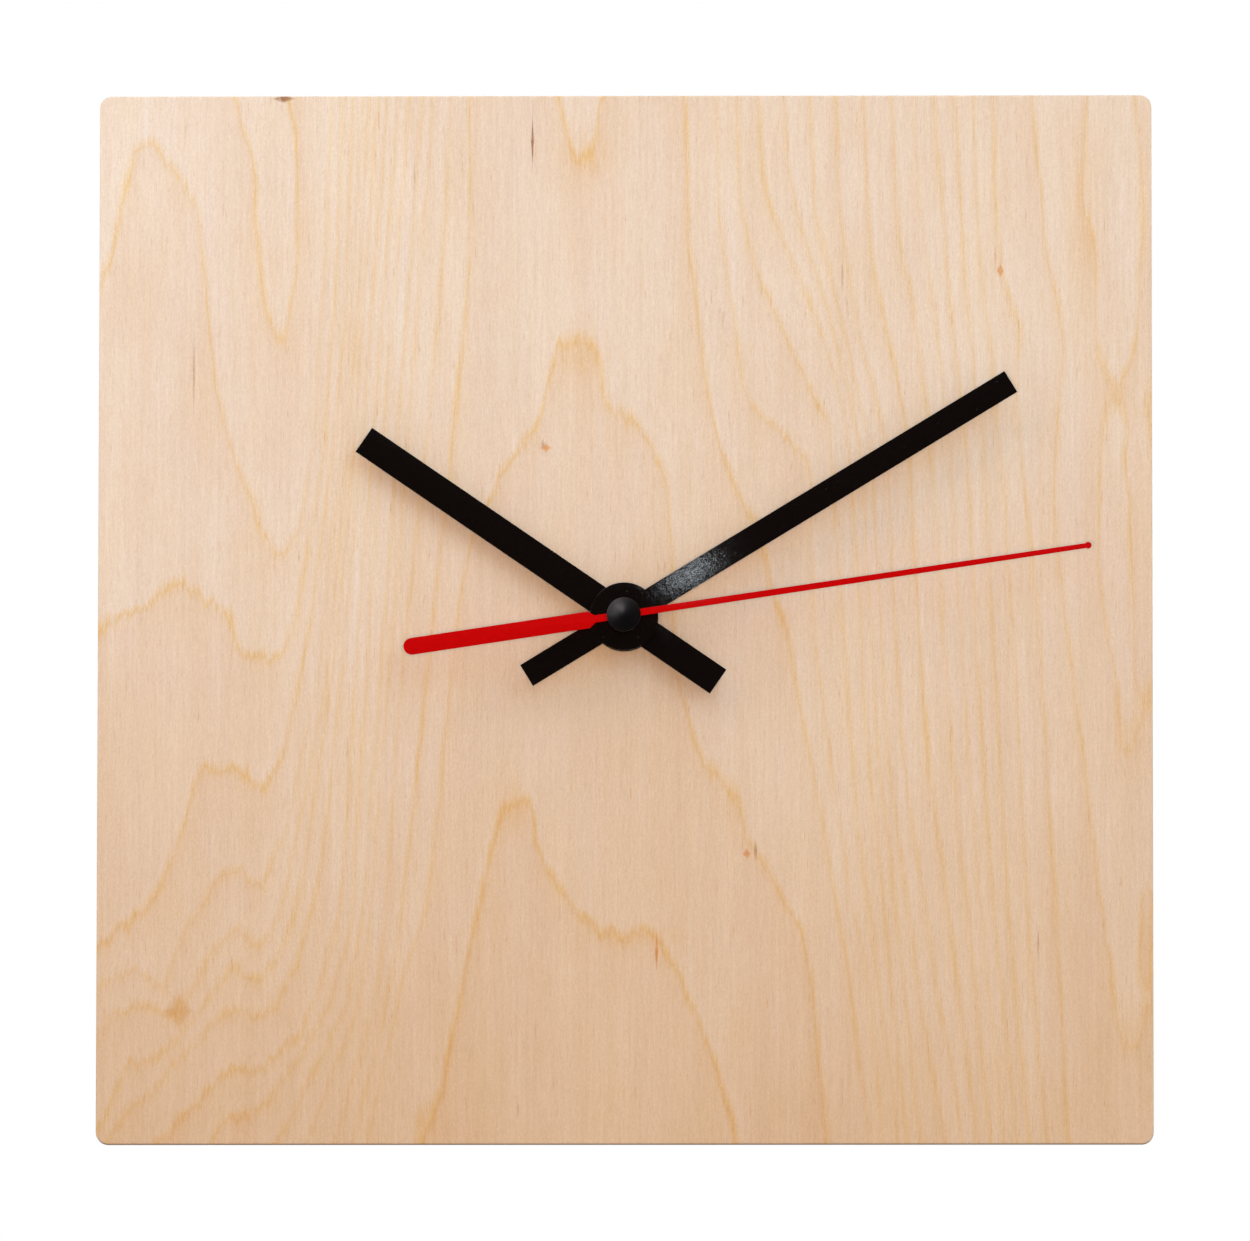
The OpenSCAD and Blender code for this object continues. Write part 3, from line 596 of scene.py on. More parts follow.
def birch_face():
    p = Paint("birch_face", Roughness=0.62, Specular_IOR_Level=0.28)
    x, y, z = p.axes()
    z = p.minus(z, board_mid.z / MM)
    stored = p.tree.nodes.new("ShaderNodeAttribute")
    stored.attribute_name = "rings"
    height, slope, spread = p.axes(stored.outputs["Vector"])

    def swing(share, reach):
        """Noise as a swing to both sides of zero."""
        return p.times(p.minus(share, 0.5), reach)

    # Ragged ends of the fibres shift the rings up and down
    ragged = swing(fibre_noise(p, 0.5, 0.05), 6.0)
    ragged = p.plus(ragged, swing(fibre_noise(p, 1.5, 0.09, 3.0, 0.6, shift=9), 8.0))
    level = p.math("MULTIPLY_ADD", slope, ragged, height)
    level = p.plus(level, swing(fibre_noise(p, 0.12, 0.03, shift=3), 0.16))
    ring = p.math("ROUND", level)
    away = p.times(p.minus(level, ring), spread)  # mm past the ring
    away_r = p.absolute(away)

    def hill(distance, width):
        """1 at no distance, falling like a bell curve."""
        square = p.math("POWER", p.math("DIVIDE", distance, width), 2.0)
        return p.math("EXPONENT", p.times(square, -1.0))

    crossing = p.times(p.absolute(slope), spread, clamp=True)  # 1 where a ring runs level
    width = p.span(fibre_noise(p, 0.25, 0.04, shift=21), 0.3, 0.7, 0.48, 0.95)
    width = p.times(width, p.math("MULTIPLY_ADD", crossing, 0.9, 1.0))
    line = hill(away_r, width)
    inside = p.math("GREATER_THAN", away, 0.0)
    tail = p.times(p.math("EXPONENT", p.math("DIVIDE", away_r, -2.8)), inside)
    kind = p.node("TexWhiteNoise", {"W": ring}, noise_dimensions="1D").outputs["Value"]
    comb = p.span(fibre_noise(p, 2.4, 0.11, 2.0, 0.6, shift=60), 0.32, 0.68, 0.45, 1.25)
    strong = p.span(spread, 3.0, 16.0, 0.52, 0.92)
    strong = p.times(strong, p.span(kind, 0, 1, 0.7, 1.15))
    strong = p.times(strong, p.span(fibre_noise(p, 0.3, 0.035, shift=5), 0.3, 0.7, 0.45, 1.25))
    strong = p.times(strong, comb)
    ring_dark = p.times(p.math("MULTIPLY_ADD", tail, 0.28, line), strong, clamp=True)
    # Where rings lie far apart, the wood is deepest just past a ring and pales toward the next
    deepened = p.math("POWER", p.minus(1.0, p.math("FRACT", level)), 1.5)
    deepened = p.times(deepened, p.span(spread, 4.0, 14.0))
    # A paler line just short of each ring
    beside = p.times(hill(p.plus(away, p.times(width, 2.0)), width), strong, clamp=True)

    fine = fibre_noise(p, 2.9, 0.22, 3.0, 0.6, shift=2)
    medium = fibre_noise(p, 1.0, 0.035, 3.0, 0.55, shift=14)
    broad = fibre_noise(p, 0.22, 0.010, 3.0, 0.5, shift=33)
    grain = p.noise((3.0, 3.0, 1.3), 2.0, 0.7, shift=71)
    cloud = p.noise((0.022, 0.022, 0.014), 3.0, 0.5, shift=30)
    speck = p.span(fibre_noise(p, 2.6, 0.35, 1.0, 0.4, shift=7), 0.66, 0.82)
    dash = p.span(fibre_noise(p, 1.9, 0.16, 2.0, 0.5, shift=17), 0.66, 0.80)
    pale = p.span(fibre_noise(p, 0.5, 0.03, 1.0, 0.5, shift=40), 0.52, 0.85)

    # Warmer and deeper toward the lower right of the dial face: partly the wood's tone, partly painted shade
    # where the light falls off down and across the sheet
    half = board_half / MM
    down = p.math("POWER", p.span(z, half, -half), 1.5)
    across = p.span(x, -half, 0.0, 0.0, 0.33)
    plain = p.times(p.minus(1.0, down), p.minus(1.0, across))
    front = p.math("LESS_THAN", y, board_mid.y / MM)
    tone_and_shade = p.times(p.minus(1.0, plain), front)
    colour = p.mix(tone_and_shade, FACE_COOL, FACE_WARM_SHADED)
    for share, tint in (
        (p.span(cloud, 0.36, 0.64, 0.0, 0.8), (0.965, 0.93, 0.90)),
        (p.span(broad, 0.3, 0.7), (0.97, 0.945, 0.92)),
        (p.span(p.noise((0.09, 0.09, 0.028), 3.0, 0.5, shift=83), 0.35, 0.65), (1.0, 0.985, 0.935)),
        (p.span(medium, 0.3, 0.7), (0.955, 0.925, 0.89)),
        (p.span(fine, 0.25, 0.75), (0.93, 0.885, 0.84)),
        (p.span(grain, 0.25, 0.75), (0.87, 0.84, 0.81)),
        (ring_dark, RING_TINT),
        (deepened, (0.980, 0.945, 0.912)),
        (p.times(speck, 0.45), (0.86, 0.72, 0.60)),
        (p.times(dash, 0.7), (0.84, 0.66, 0.52)),
    ):
        colour = p.mix(share, colour, tint, "MULTIPLY")
    lift = p.math("MAXIMUM", p.times(pale, 0.8), p.times(beside, 0.5))
    colour = p.mix(lift, colour, PALE_TINT, "MULTIPLY")
    rough_mark = p.span(fibre_noise(p, 1.8, 0.5, shift=50), 0.3, 0.6, 0.6, 1.2)
    fringe = p.span(fibre_noise(p, 0.9, 0.09, shift=52), 0.3, 0.7, 0.35, 1.3)
    for mx, mz, rx, rz, strength, tint in MARKS:
        off = p.vector("SUBTRACT", p.at, (mx, 0.0, mz + board_mid.z / MM))
        off = p.vector("MULTIPLY", off, (1 / rx, 0.0, 1 / rz))
        if rx < SMALL_MARK:  # pointed along the fibres
            size = p.vector("DOT_PRODUCT", p.vector("ABSOLUTE", off), (1, 1, 1))
            size, wear = p.math("POWER", size, 2.0), rough_mark
        else:
            size, wear = p.vector("LENGTH", off), fringe
        mark = p.times(p.times(hill(size, 1.0), front), strength)
        colour = p.mix(p.times(mark, wear, clamp=True), colour, tint, "MULTIPLY")
    p.set("Base Color", colour)
    p.set("Roughness", p.span(fine, 0.2, 0.8, 0.55, 0.7))
    p.bump(fine, 0.035, 0.6)
    p.bump(p.minus(1.0, speck), 0.03, 0.6)
    return p.material


def birch_edge():
    """Three plies. The outer two have upright fibres and the core has level ones."""
    p = Paint("birch_edge", Roughness=0.7, Specular_IOR_Level=0.25)
    x, y, z = p.axes()
    depth = p.minus(y, dial_y / MM)
    ply = (wall_y - dial_y) / MM / 3
    core = p.times(p.math("GREATER_THAN", depth, ply), p.math("LESS_THAN", depth, 2 * ply))
    geometry = p.tree.nodes.new("ShaderNodeNewGeometry")
    upright = p.absolute(p.axes(geometry.outputs["True Normal"])[2])
    across = p.span(upright, 0.3, 0.7)  # 1 on the top and bottom edges
    end_grain = p.absolute(p.minus(across, core))
    pores = p.noise((3.2, 3.2, 3.2), 3.0, 0.6)
    long_side = p.noise((2.4, 3.4, 0.12), 3.0, 0.55, shift=4)
    long_across = p.noise((0.12, 3.4, 2.4), 3.0, 0.55, shift=6)
    streak = p.mix(across, long_side, long_across)
    colour = p.mix(end_grain, (0.70, 0.50, 0.33), (0.50, 0.31, 0.18))
    colour = p.mix(p.times(p.span(pores, 0.35, 0.65), 0.45), colour, (0.34, 0.19, 0.10))
    colour = p.mix(p.span(streak, 0.3, 0.7, 0.0, 0.3), colour, (0.42, 0.25, 0.14))
    glue_lines = [p.span(p.absolute(p.minus(depth, at)), 0.02, 0.14, 1.0, 0.0) for at in (ply, 2 * ply)]
    colour = p.mix(p.times(p.math("MAXIMUM", *glue_lines), 0.6), colour, (0.16, 0.085, 0.045))
    p.set("Base Color", colour)
    p.bump(pores, 0.05, 0.8)
    return p.material


link("board", board_mesh(), [birch_face(), birch_edge()], "frame", "birch_plywood", "plywood_board")

# ---------------------------------------------------------------- finishes


def coated_hand(name, colour, angle):
    """Satin black sheet, rolled along the hand, with a faint grain of short streaks."""
    p = Paint(name, colour, Roughness=0.12, Specular_IOR_Level=0.42)
    turn = {"Vector": p.at, "Center": (0, 0, axis_at[1] / MM), "Angle": -math.radians(angle)}
    at = p.node("VectorRotate", turn, rotation_type="Y_AXIS").outputs["Vector"]
    grain = p.noise((2.6, 2.6, 0.75), 3.0, 0.65, at=at)
    rolled = p.noise((4.5, 4.5, 0.12), 2.0, 0.6, at=at, shift=8)
    brushed = p.noise((1.3, 1.3, 0.75), 3.0, 0.75, at=at, shift=31)
    dust = p.span(p.noise((1.3, 1.3, 1.1), 1.0, 0.4, at=at, shift=15), 0.76, 0.84)
    base = p.mix(p.span(grain, 0.3, 0.75), colour, tuple(c * 1.9 for c in colour))
    p.set("Base Color", p.mix(p.times(dust, 0.2), base, (0.10, 0.10, 0.11)))
    p.set("Roughness", p.span(rolled, 0.25, 0.75, 0.10, 0.14))
    p.bump(grain, 0.010, 0.9)
    p.bump(brushed, 0.07, 1.0)
    p.bump(rolled, 0.003, 0.7)
    return p.material


def lacquer(name, colour, deep, rough):
    p = Paint(name, colour, Roughness=rough, Specular_IOR_Level=0.06)
    wave = p.noise((0.5, 0.5, 0.5), 2.0, 0.5)
    fine = p.noise((6.0, 6.0, 6.0), 2.0, 0.5)
    p.set("Base Color", p.mix(p.span(wave, 0.3, 0.7), colour, deep))
    p.set("Roughness", p.span(fine, 0.3, 0.7, rough - 0.05, rough + 0.08))
    p.bump(fine, 0.004, 0.6)
    return p.material


def turned_round(name, colour, shade, rough, metal=0.0):
    """A surface turned or moulded round the hands' axis, with fine rings."""
    p = Paint(name, colour, Roughness=rough, Metallic=metal)
    from_axis = p.vector("SUBTRACT", p.at, (axis_at[0] / MM, 0, axis_at[1] / MM))
    r = p.vector("LENGTH", p.vector("MULTIPLY", from_axis, (1, 0, 1)))
    turned_lines = p.noise((5.0, 1, 1), 2.0, 0.6, at=p.node("CombineXYZ", {0: r}).outputs[0])
    fine = p.noise((7.0, 7.0, 7.0), 2.0, 0.6)
    tinted(p, colour, shade, p.span(fine, 0.3, 0.7), 0.6)
    p.set("Roughness", p.span(turned_lines, 0.3, 0.7, rough - 0.06, rough + 0.08))
    p.bump(turned_lines, 0.006, 0.8)
    p.bump(fine, 0.0036, 0.6)
    return p.material


def metal(name, colour, shade, rough, stretch):
    """Sheet or drawn metal. stretch is how fast its grain changes along x, y and z."""
    p = Paint(name, colour, Roughness=rough, Metallic=1.0)
    cloud = p.noise(tuple(s * 0.25 for s in stretch), 3.0, 0.5)
    lines = p.noise(tuple(s * 3.0 for s in stretch), 3.0, 0.6, shift=5)
    tinted(p, colour, shade, p.span(cloud, 0.3, 0.7), 0.7)
    p.set("Roughness", p.span(lines, 0.25, 0.75, max(0.05, rough - 0.1), rough + 0.12))
    p.bump(lines, 0.008, 0.7)
    return p.material


def moulded(name, colour, shade, rough, grain=5.0, depth=0.02, **sockets):
    """Injection-moulded plastic with an eroded texture."""
    p = Paint(name, colour, Roughness=rough, **sockets)
    texture = p.noise((grain, grain, grain), 2.0, 0.6)
    flow = p.noise((0.07, 0.07, 0.05), 3.0, 0.5, shift=11)
    scuff = p.span(p.noise((0.5, 0.5, 2.4), 4.0, 0.7, shift=23), 0.66, 0.8)
    base = p.mix(p.span(flow, 0.3, 0.7), colour, shade)
    worn = tuple(min(1, c * 2 + 0.02) for c in colour)
    p.set("Base Color", p.mix(p.times(scuff, 0.25), base, worn))
    p.set("Roughness", p.span(flow, 0.3, 0.7, rough - 0.05, rough + 0.06))
    p.bump(texture, depth, 0.8)
    return p.material


def circuit_green():
    p = Paint("circuit_green", Roughness=0.32, Coat_Weight=0.4, Coat_Roughness=0.2)
    bends = p.times(p.noise((0.18, 0.18, 0.02), 0.0), 9.0)
    lanes = p.math("PINGPONG", p.plus(p.axes()[2], bends), 0.9)
    trace = p.span(lanes, 0.5, 0.58)
    weave = p.noise((4.0, 4.0, 4.0), 2.0, 0.5)
    colour = p.mix(trace, (0.016, 0.085, 0.035), (0.035, 0.16, 0.06))
    p.set("Base Color", p.mix(p.span(weave, 0.3, 0.7, 0.0, 0.3), colour, (0.01, 0.05, 0.02)))
    p.bump(trace, 0.03, 0.7)
    return p.material


def wound_copper():
    p = Paint("wound_copper", Roughness=0.28, Metallic=1.0, Coat_Weight=0.5, Coat_Roughness=0.15)
    wire = 0.05  # mm from the middle of one turn to its edge
    crest = p.span(p.math("PINGPONG", p.axes()[2], wire), 0.0, wire)
    cross = p.noise((0.9, 0.9, 3.0), 2.0, 0.5)
    colour = p.mix(p.span(cross, 0.3, 0.7), (0.62, 0.26, 0.11), (0.48, 0.17, 0.07))
    # Darker in the grooves between the turns: painted shade
    p.set("Base Color", p.mix(p.minus(1.0, crest), colour, (0.22, 0.07, 0.03)))
    p.bump(crest, 0.04, 0.8)
    return p.material


def battery_film():
    """A plain two-colour printed sleeve with a plus at one end and a minus at the other."""
    p = Paint("battery_film", Roughness=0.22, Coat_Weight=0.6, Coat_Roughness=0.1, Metallic=0.15)
    low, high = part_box("battery_sleeve")
    centre = (low + high) / (2 * MM)
    x, y, z = p.axes()
    x = p.minus(x, centre.x)
    fine = p.noise((3.0, 3.0, 3.0), 2.0, 0.5)
    copper_end = p.math("GREATER_THAN", x, 10.5)
    line = p.math("LESS_THAN", p.absolute(p.minus(x, 9.6)), 0.35)
    colour = p.mix(p.span(fine, 0.3, 0.7), (0.014, 0.075, 0.035), (0.02, 0.095, 0.045))
    colour = p.mix(copper_end, colour, (0.62, 0.36, 0.12))
    colour = p.mix(line, colour, (0.75, 0.74, 0.70))
    turn = p.math("ARCTAN2", p.minus(z, centre.z), p.minus(y, centre.y))
    turn = p.times(turn, 7.1)  # mm round the sleeve from its rear line
    off = p.absolute(turn)
    plus_x = p.absolute(p.minus(x, 17.0))
    minus_x = p.absolute(p.plus(x, 18.5))

    def box(a, la, b, lb):
        return p.times(p.math("LESS_THAN", a, la), p.math("LESS_THAN", b, lb))

    signs = p.math("MAXIMUM", box(plus_x, 1.6, off, 0.4), box(plus_x, 0.4, off, 1.6))
    colour = p.mix(signs, colour, (0.02, 0.02, 0.02))
    colour = p.mix(box(minus_x, 0.4, off, 1.6), colour, (0.75, 0.74, 0.70))
    seam = p.math("LESS_THAN", p.absolute(p.plus(turn, 9.0)), 0.12)
    p.set("Base Color", p.mix(p.times(seam, 0.6), colour, (0.01, 0.03, 0.02)))
    p.bump(p.minus(1.0, seam), 0.05, 0.8)
    p.bump(fine, 0.01, 0.5)
    return p.material


# Degrees clockwise from twelve in the photo
HOUR_ANGLE, MINUTE_ANGLE, SECOND_ANGLE = 304.5, 58.6, 81.5
BLACK = (0.0030, 0.0017, 0.0013)
hour_black = coated_hand("hour_black", BLACK, HOUR_ANGLE)
minute_black = coated_hand("minute_black", BLACK, MINUTE_ANGLE)
hand_red = lacquer("hand_red", (0.51, 0.0004, 0.0004), (0.47, 0.0003, 0.0003), 0.24)
cap_grey = turned_round("cap_grey", (0.0022, 0.0015, 0.0017), (0.0016, 0.0011, 0.0013), 0.46)
brass = turned_round("brass", (0.78, 0.56, 0.24), (0.60, 0.40, 0.15), 0.26, metal=1.0)
nickel = turned_round("nickel", (0.63, 0.60, 0.55), (0.50, 0.47, 0.43), 0.24, metal=1.0)
zinc = metal("zinc", (0.66, 0.67, 0.68), (0.52, 0.54, 0.57), 0.34, (0.8, 0.8, 0.25))
strip = metal("contact_strip", (0.72, 0.70, 0.66), (0.58, 0.57, 0.54), 0.22, (0.3, 1.0, 1.0))
core_steel = metal("core_steel", (0.50, 0.50, 0.52), (0.38, 0.38, 0.41), 0.36, (0.4, 0.4, 1.2))
arbor_steel = metal("arbor_steel", (0.70, 0.71, 0.73), (0.58, 0.59, 0.61), 0.16, (1.2, 0.3, 1.2))
can_steel = metal("battery_can", (0.68, 0.68, 0.69), (0.55, 0.55, 0.57), 0.24, (1.2, 0.4, 0.4))
crystal_can = metal("crystal_can", (0.74, 0.74, 0.76), (0.60, 0.60, 0.63), 0.18, (0.4, 1.0, 1.0))
magnet = metal("magnet", (0.10, 0.10, 0.11), (0.06, 0.06, 0.07), 0.5, (1.5, 1.5, 1.5))
case_black = moulded("case_black", (0.0125, 0.0125, 0.0135), (0.0085, 0.0085, 0.0095), 0.46)
knob_black = moulded("knob_black", (0.020, 0.020, 0.022), (0.014, 0.014, 0.016), 0.38, 6.0, 0.012)
natural = moulded(
    "natural_plastic", (0.80, 0.77, 0.69), (0.72, 0.68, 0.60), 0.36, 4.0, 0.006, Subsurface_Weight=0.15
)
rubber = moulded("rubber", (0.016, 0.016, 0.016), (0.010, 0.010, 0.010), 0.78, 3.5, 0.03)
chip_black = moulded("chip_black", (0.010, 0.010, 0.011), (0.006, 0.006, 0.007), 0.3, 2.0, 0.02)
copper = wound_copper()
green = circuit_green()
film = battery_film()

# CAD nodes that keep their own mesh
KEPT = {
    brass: ("minute_arbor", "clutch_spring", "second_hand_tube", "hour_hand_collet", "minute_hand_collet"),
    nickel: ("threaded_bushing",),
    natural: (
        "middle_plate", "coil_bobbin", "rotor_pinion", "fifth_wheel", "seconds_wheel", "third_wheel",
        "centre_wheel", "setting_wheel", "hour_wheel",
    ),
    green: ("circuit_board",),
    chip_black: ("controller_chip",),
    crystal_can: ("quartz_crystal",),
    copper: ("coil_winding",),
    core_steel: ("coil_core", "stator_plate"),
    zinc: ("stator_screws",),
    magnet: ("rotor_magnet",),
    arbor_steel: ("seconds_arbor",),
}
for material, names in KEPT.items():
    for name in names:
        data = nodes[name].data
        data.materials.clear()
        data.materials.append(material)

# ---------------------------------------------------------------- hands


def depths(node):
    low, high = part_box(node)
    return low.y, high.y


def bar_hand(node, width, reach, tail, hub, hole, angle, material):
    """A square-ended bar and the disc round its hole, cut from one sheet."""
    half = width / 2
    meet = math.degrees(math.asin(half / hub))
    outline = [(-half, -tail), (half, -tail)]
    outline += arc(hub, -90 + meet, 90 - meet, 40)
    outline += [(half, reach), (-half, reach)]
    outline += arc(hub, 90 + meet, 270 - meet, 40)
    front, rear = depths(node)
    outlines = [turned(o, angle, axis_at) for o in (outline, ring_outline(hole))]
    mesh = plate(outlines, front, rear, 0.09 * MM)
    link(node + ".made", mesh, material, nodes[node]["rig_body"], "hand_black", node)


TAIL, HUB = 32.4 * MM, 9.7 * MM
bar_hand("hour_hand", 8.3 * MM, 90 * MM, TAIL, HUB, 2.5 * MM, HOUR_ANGLE, hour_black)
bar_hand("minute_hand", 7 * MM, 128.8 * MM, TAIL, HUB, 1.6 * MM, MINUTE_ANGLE, minute_black)


def second_hand():
    """A needle that tapers to a round tip, an eye at the axis, a neck and a round-ended counterweight."""
    root, end, tip_r, reach = 1.0, 0.7, 0.95, 134.2
    neck, neck_end, shoulder, weight, tail = 1.05, 8.2, 10.0, 2.4, 63.2
    eye, bore = 2.6, 1.1
    meet = math.degrees(math.asin(end / tip_r))

    def on_eye(u, side):
        """Where the line at u crosses the eye's circle, in degrees."""
        return math.degrees(math.atan2(side * math.sqrt(eye**2 - u**2), u))

    outline = arc(tip_r, -90 + meet, 270 - meet, 19, (0, reach - tip_r))
    outline += arc(eye, on_eye(-root, 1), 360 + on_eye(-neck, -1), 14)
    outline += [(-neck, -neck_end), (-weight, -shoulder)]
    outline += arc(weight, 180, 360, 22, (0, weight - tail))
    outline += [(weight, -shoulder), (neck, -neck_end)]
    outline += arc(eye, on_eye(neck, -1), on_eye(root, 1), 14)
    outlines = [
        turned([(u * MM, v * MM) for u, v in shape], SECOND_ANGLE, axis_at)
        for shape in (outline, ring_outline(bore, 32))
    ]
    mesh = plate(outlines, *depths("second_hand"), 0.07 * MM)
    link("second_hand.made", mesh, hand_red, "seconds", "hand_red", "second_hand")


second_hand()


def cap():
    """A low dome on a short cylinder, bored for the tube."""
    low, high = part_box("second_hand_cap")
    r = (high.x - low.x) / 2
    tip, seat = low.y, high.y
    rise, edge, foot = 2.0 * MM, 0.35 * MM, 0.12 * MM
    bore, bore_end = 1.1 * MM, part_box("second_hand_tube")[0].y
    corner = tip + rise + edge
    profile = [(bore, seat), (r - foot, seat), (r, seat - foot)]
    profile += arc(edge, 0, -78, 6, (r - edge, corner))
    start_r, start_y = profile[-1]
    for t in (0.94, 0.86, 0.76, 0.64, 0.52, 0.40, 0.30, 0.21, 0.14, 0.08, 0.04, 0.0):
        profile.append((start_r * t, tip + (start_y - tip) * t**1.7))
    profile += [(0, bore_end), (bore, bore_end)]
    mesh = lathe(profile, "y", (axis_at[0], 0, axis_at[1]), 128)
    link("second_hand_cap.made", mesh, cap_grey, "seconds", "cap_charcoal", "second_hand_cap")


cap()

# ---------------------------------------------------------------- fixings and movement

soft_piece("hex_nut", 0.25 * MM, brass, "brass")
soft_piece("minute_nut", 0.15 * MM, brass, "brass")
soft_piece("brass_washer", 0.1 * MM, brass, "brass")
soft_piece("rubber_washer", 0.22 * MM, rubber, "rubber")
soft_piece("hanger_plate", 0.14 * MM, zinc, "zinc_steel")
soft_piece("positive_contact", 0.06 * MM, strip, "contact_strip")
soft_piece("negative_contact", 0.06 * MM, strip, "contact_strip")
soft_piece("movement_case", 0.2 * MM, case_black, "case_black")
soft_piece("rear_cover", 0.15 * MM, case_black, "case_black")
soft_piece("setting_knob", 0.12 * MM, knob_black, "knob_black")


def cell():
    """A battery can with a ring groove and a nub, and the printed sleeve round it."""
    low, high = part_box("battery_cell")
    s_low, s_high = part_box("battery_sleeve")
    centre = (0, (s_low.y + s_high.y) / 2, (s_low.z + s_high.z) / 2)
    skin = (s_high.z - s_low.z) / 2
    can = skin - 0.15 * MM
    left, right = low.x, high.x - 1.0 * MM
    nub, nub_end, nub_edge = 2.7 * MM, high.x, 0.3 * MM
    edge = 0.5 * MM
    lead_in = math.degrees(0.3)  # the rounded edges start this far round

    def steps(start, *moves):
        """Profile points, each given as its distance in mm from a place along the axis."""
        return [(r + dr * MM, start + along * MM) for r, dr, along in moves]

    profile = steps(left, (0, 0, 0.12), (can * 0.62, 0, 0.12), (can * 0.66, 0, 0), (can - edge, 0, 0))
    profile += arc(edge, lead_in - 90, 0, 4, (can - edge, left + edge))
    profile += steps(right, (can, 0, -2.6), (can, -0.28, -2.2), (can, 0, -1.8))
    profile += [(can, right - edge)] + arc(edge, lead_in, 90, 4, (can - edge, right - edge))
    profile += steps(right, (nub, 1.0, 0), (nub, 0.7, -0.25), (nub, 0.25, -0.25), (nub, 0, 0))
    profile += [(nub, nub_end - nub_edge)]
    profile += arc(nub_edge, lead_in, 90, 3, (nub - nub_edge, nub_end - nub_edge))
    profile += [(0, nub_end)]
    mesh = lathe(profile, "x", centre, 72, closed=False)
    link("battery_cell.made", mesh, can_steel, "battery", "battery_steel", "battery_cell")

    a, b = s_low.x, s_high.x
    wrap = steps(a, (can, 0.01, 0.3))
    wrap += steps(b, (can, 0.01, -0.3), (can, -0.05, 0), (skin, -0.08, 0), (skin, 0, -0.35))
    wrap += steps(b, (skin, 0, -1.7), (skin, -0.2, -1.95), (skin, 0, -2.3))
    wrap += steps(a, (skin, 0, 0.35), (skin, -0.08, 0), (can, -0.05, 0))
    mesh = lathe(wrap, "x", centre, 96)
    link("battery_sleeve.made", mesh, film, "battery", "battery_print", "battery_sleeve")


cell()


def cover_marks():
    """Raised marks on the sunk panel of the cover: a turning arrow round the knob and a plain frame."""
    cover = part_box("rear_cover")[1].y
    sunk, proud, edge = cover - 0.5 * MM, cover - 0.15 * MM, 0.08 * MM
    knob_low, knob_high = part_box("setting_knob")
    knob = (knob_low + knob_high) / 2
    r, w = 8.3 * MM, 0.45 * MM  # the arrow's middle radius and half its width
    begin, neck, tip = 200, 318, 330

    def at_angle(radius, angle):
        return radius * math.cos(math.radians(angle)), radius * math.sin(math.radians(angle))

    arrow = arc(r + w, begin, neck, 30)
    arrow += [at_angle(r + 3 * w, neck), at_angle(r, tip), at_angle(r - 3 * w, neck)]
    arrow += arc(r - w, neck, begin, 30)
    arrow = [(knob.x + u, knob.z + v) for u, v in arrow]

    fx, fz = axis_at[0] - 11.5 * MM, axis_at[1] + 6 * MM
    half_width, half_height = 9.5 * MM, 5.0 * MM

    def box_line(inset, corner):
        """A rectangle with rounded corners, drawn in by inset."""
        u, v = half_width - inset - corner, half_height - inset - corner
        line = []
        for start, su, sv in ((-90, 1, -1), (0, 1, 1), (90, -1, 1), (180, -1, -1)):
            line += arc(corner, start, start + 90, 5, (fx + su * u, fz + sv * v))
        return line

    frame_lines = [box_line(0, 1.2 * MM), box_line(0.6 * MM, 0.7 * MM)]
    for name, outlines in (("cover_arrow", [arrow]), ("cover_frame", frame_lines)):
        link(name, plate(outlines, sunk, proud, edge, 2), case_black, "frame", "case_black")


cover_marks()

# ---------------------------------------------------------------- stage, light and camera


def floor_pale():
    p = Paint("floor_pale", Roughness=0.9, Emission_Color=(1.0, 0.99, 0.96, 1), Emission_Strength=0.75)
    tinted(p, (0.88, 0.88, 0.88), (0.8536, 0.8536, 0.8536), p.noise((0.0004, 0.0004, 0.0004), 3.0, 0.5), 1.0)
    return p.material


REACH, DROP = 30, 3.5  # the floor's half width and how far below the clock's origin it lies
corners = [(x * REACH, y * REACH, -DROP) for x, y in ((-1, -1), (1, -1), (1, 1), (-1, 1))]
floor = bpy.data.objects.new("floor", from_lists("floor", corners, [(0, 1, 2, 3)]))
bpy.context.scene.collection.objects.link(floor)
floor.data.materials.append(floor_pale())
floor.visible_diffuse = floor.visible_glossy = False

centre = Vector((board_mid.x, dial_y, board_mid.z))


def lamp(data, target, offset, diffuse=True, glossy=True):
    """Puts a light at an offset from its target, aimed at it and hidden from the camera."""
    holder = bpy.data.objects.new(data.name, data)
    holder.location = target + Vector(offset)
    holder.rotation_euler = Vector(offset).to_track_quat("Z", "Y").to_euler()
    bpy.context.scene.collection.objects.link(holder)
    holder.visible_camera, holder.visible_diffuse, holder.visible_glossy = False, diffuse, glossy


def softbox(name, offset, size, watts, colour=(1, 1, 1), **seen):
    light = bpy.data.lights.new(name, "AREA")
    light.shape, light.size, light.size_y = "RECTANGLE", size[0], size[1]
    light.energy, light.color = watts, colour
    lamp(light, centre, offset, **seen)


# Each light has its own tint; together they are white on the dial and turn the hands' shadows amber
softbox("top", (0.45, -1.0, 1.1), (1.6, 1.0), 5.6, (0.24, 0.59, 1.0), glossy=False)
softbox("top_steep", (0.0, -0.6, 1.5), (1.6, 0.8), 8.0, (0.83, 0.91, 1.0), glossy=False)
softbox("left_steep", (-1.25, -0.62, 1.25), (1.0, 1.0), 9.7, (1.0, 0.77, 0.38), glossy=False)
softbox("right", (1.24, -1.55, 0.93), (2.2, 1.8), 20.6, (0.47, 0.80, 1.0), glossy=False)
softbox("front", (0.035, -2.0, -0.24), (0.35, 0.35), 18.3, (1.0, 0.72, 0.46), glossy=False)
softbox("low", (0.0, -1.2, -1.2), (1.4, 0.8), 0.9, glossy=False)
softbox("sheen_top", (-0.50, -0.9, 1.05), (1.1, 0.7), 14, (1.0, 0.90, 0.96), diffuse=False)
softbox("sheen_left", (-1.3, -0.95, 0.35), (0.5, 0.9), 5, diffuse=False)
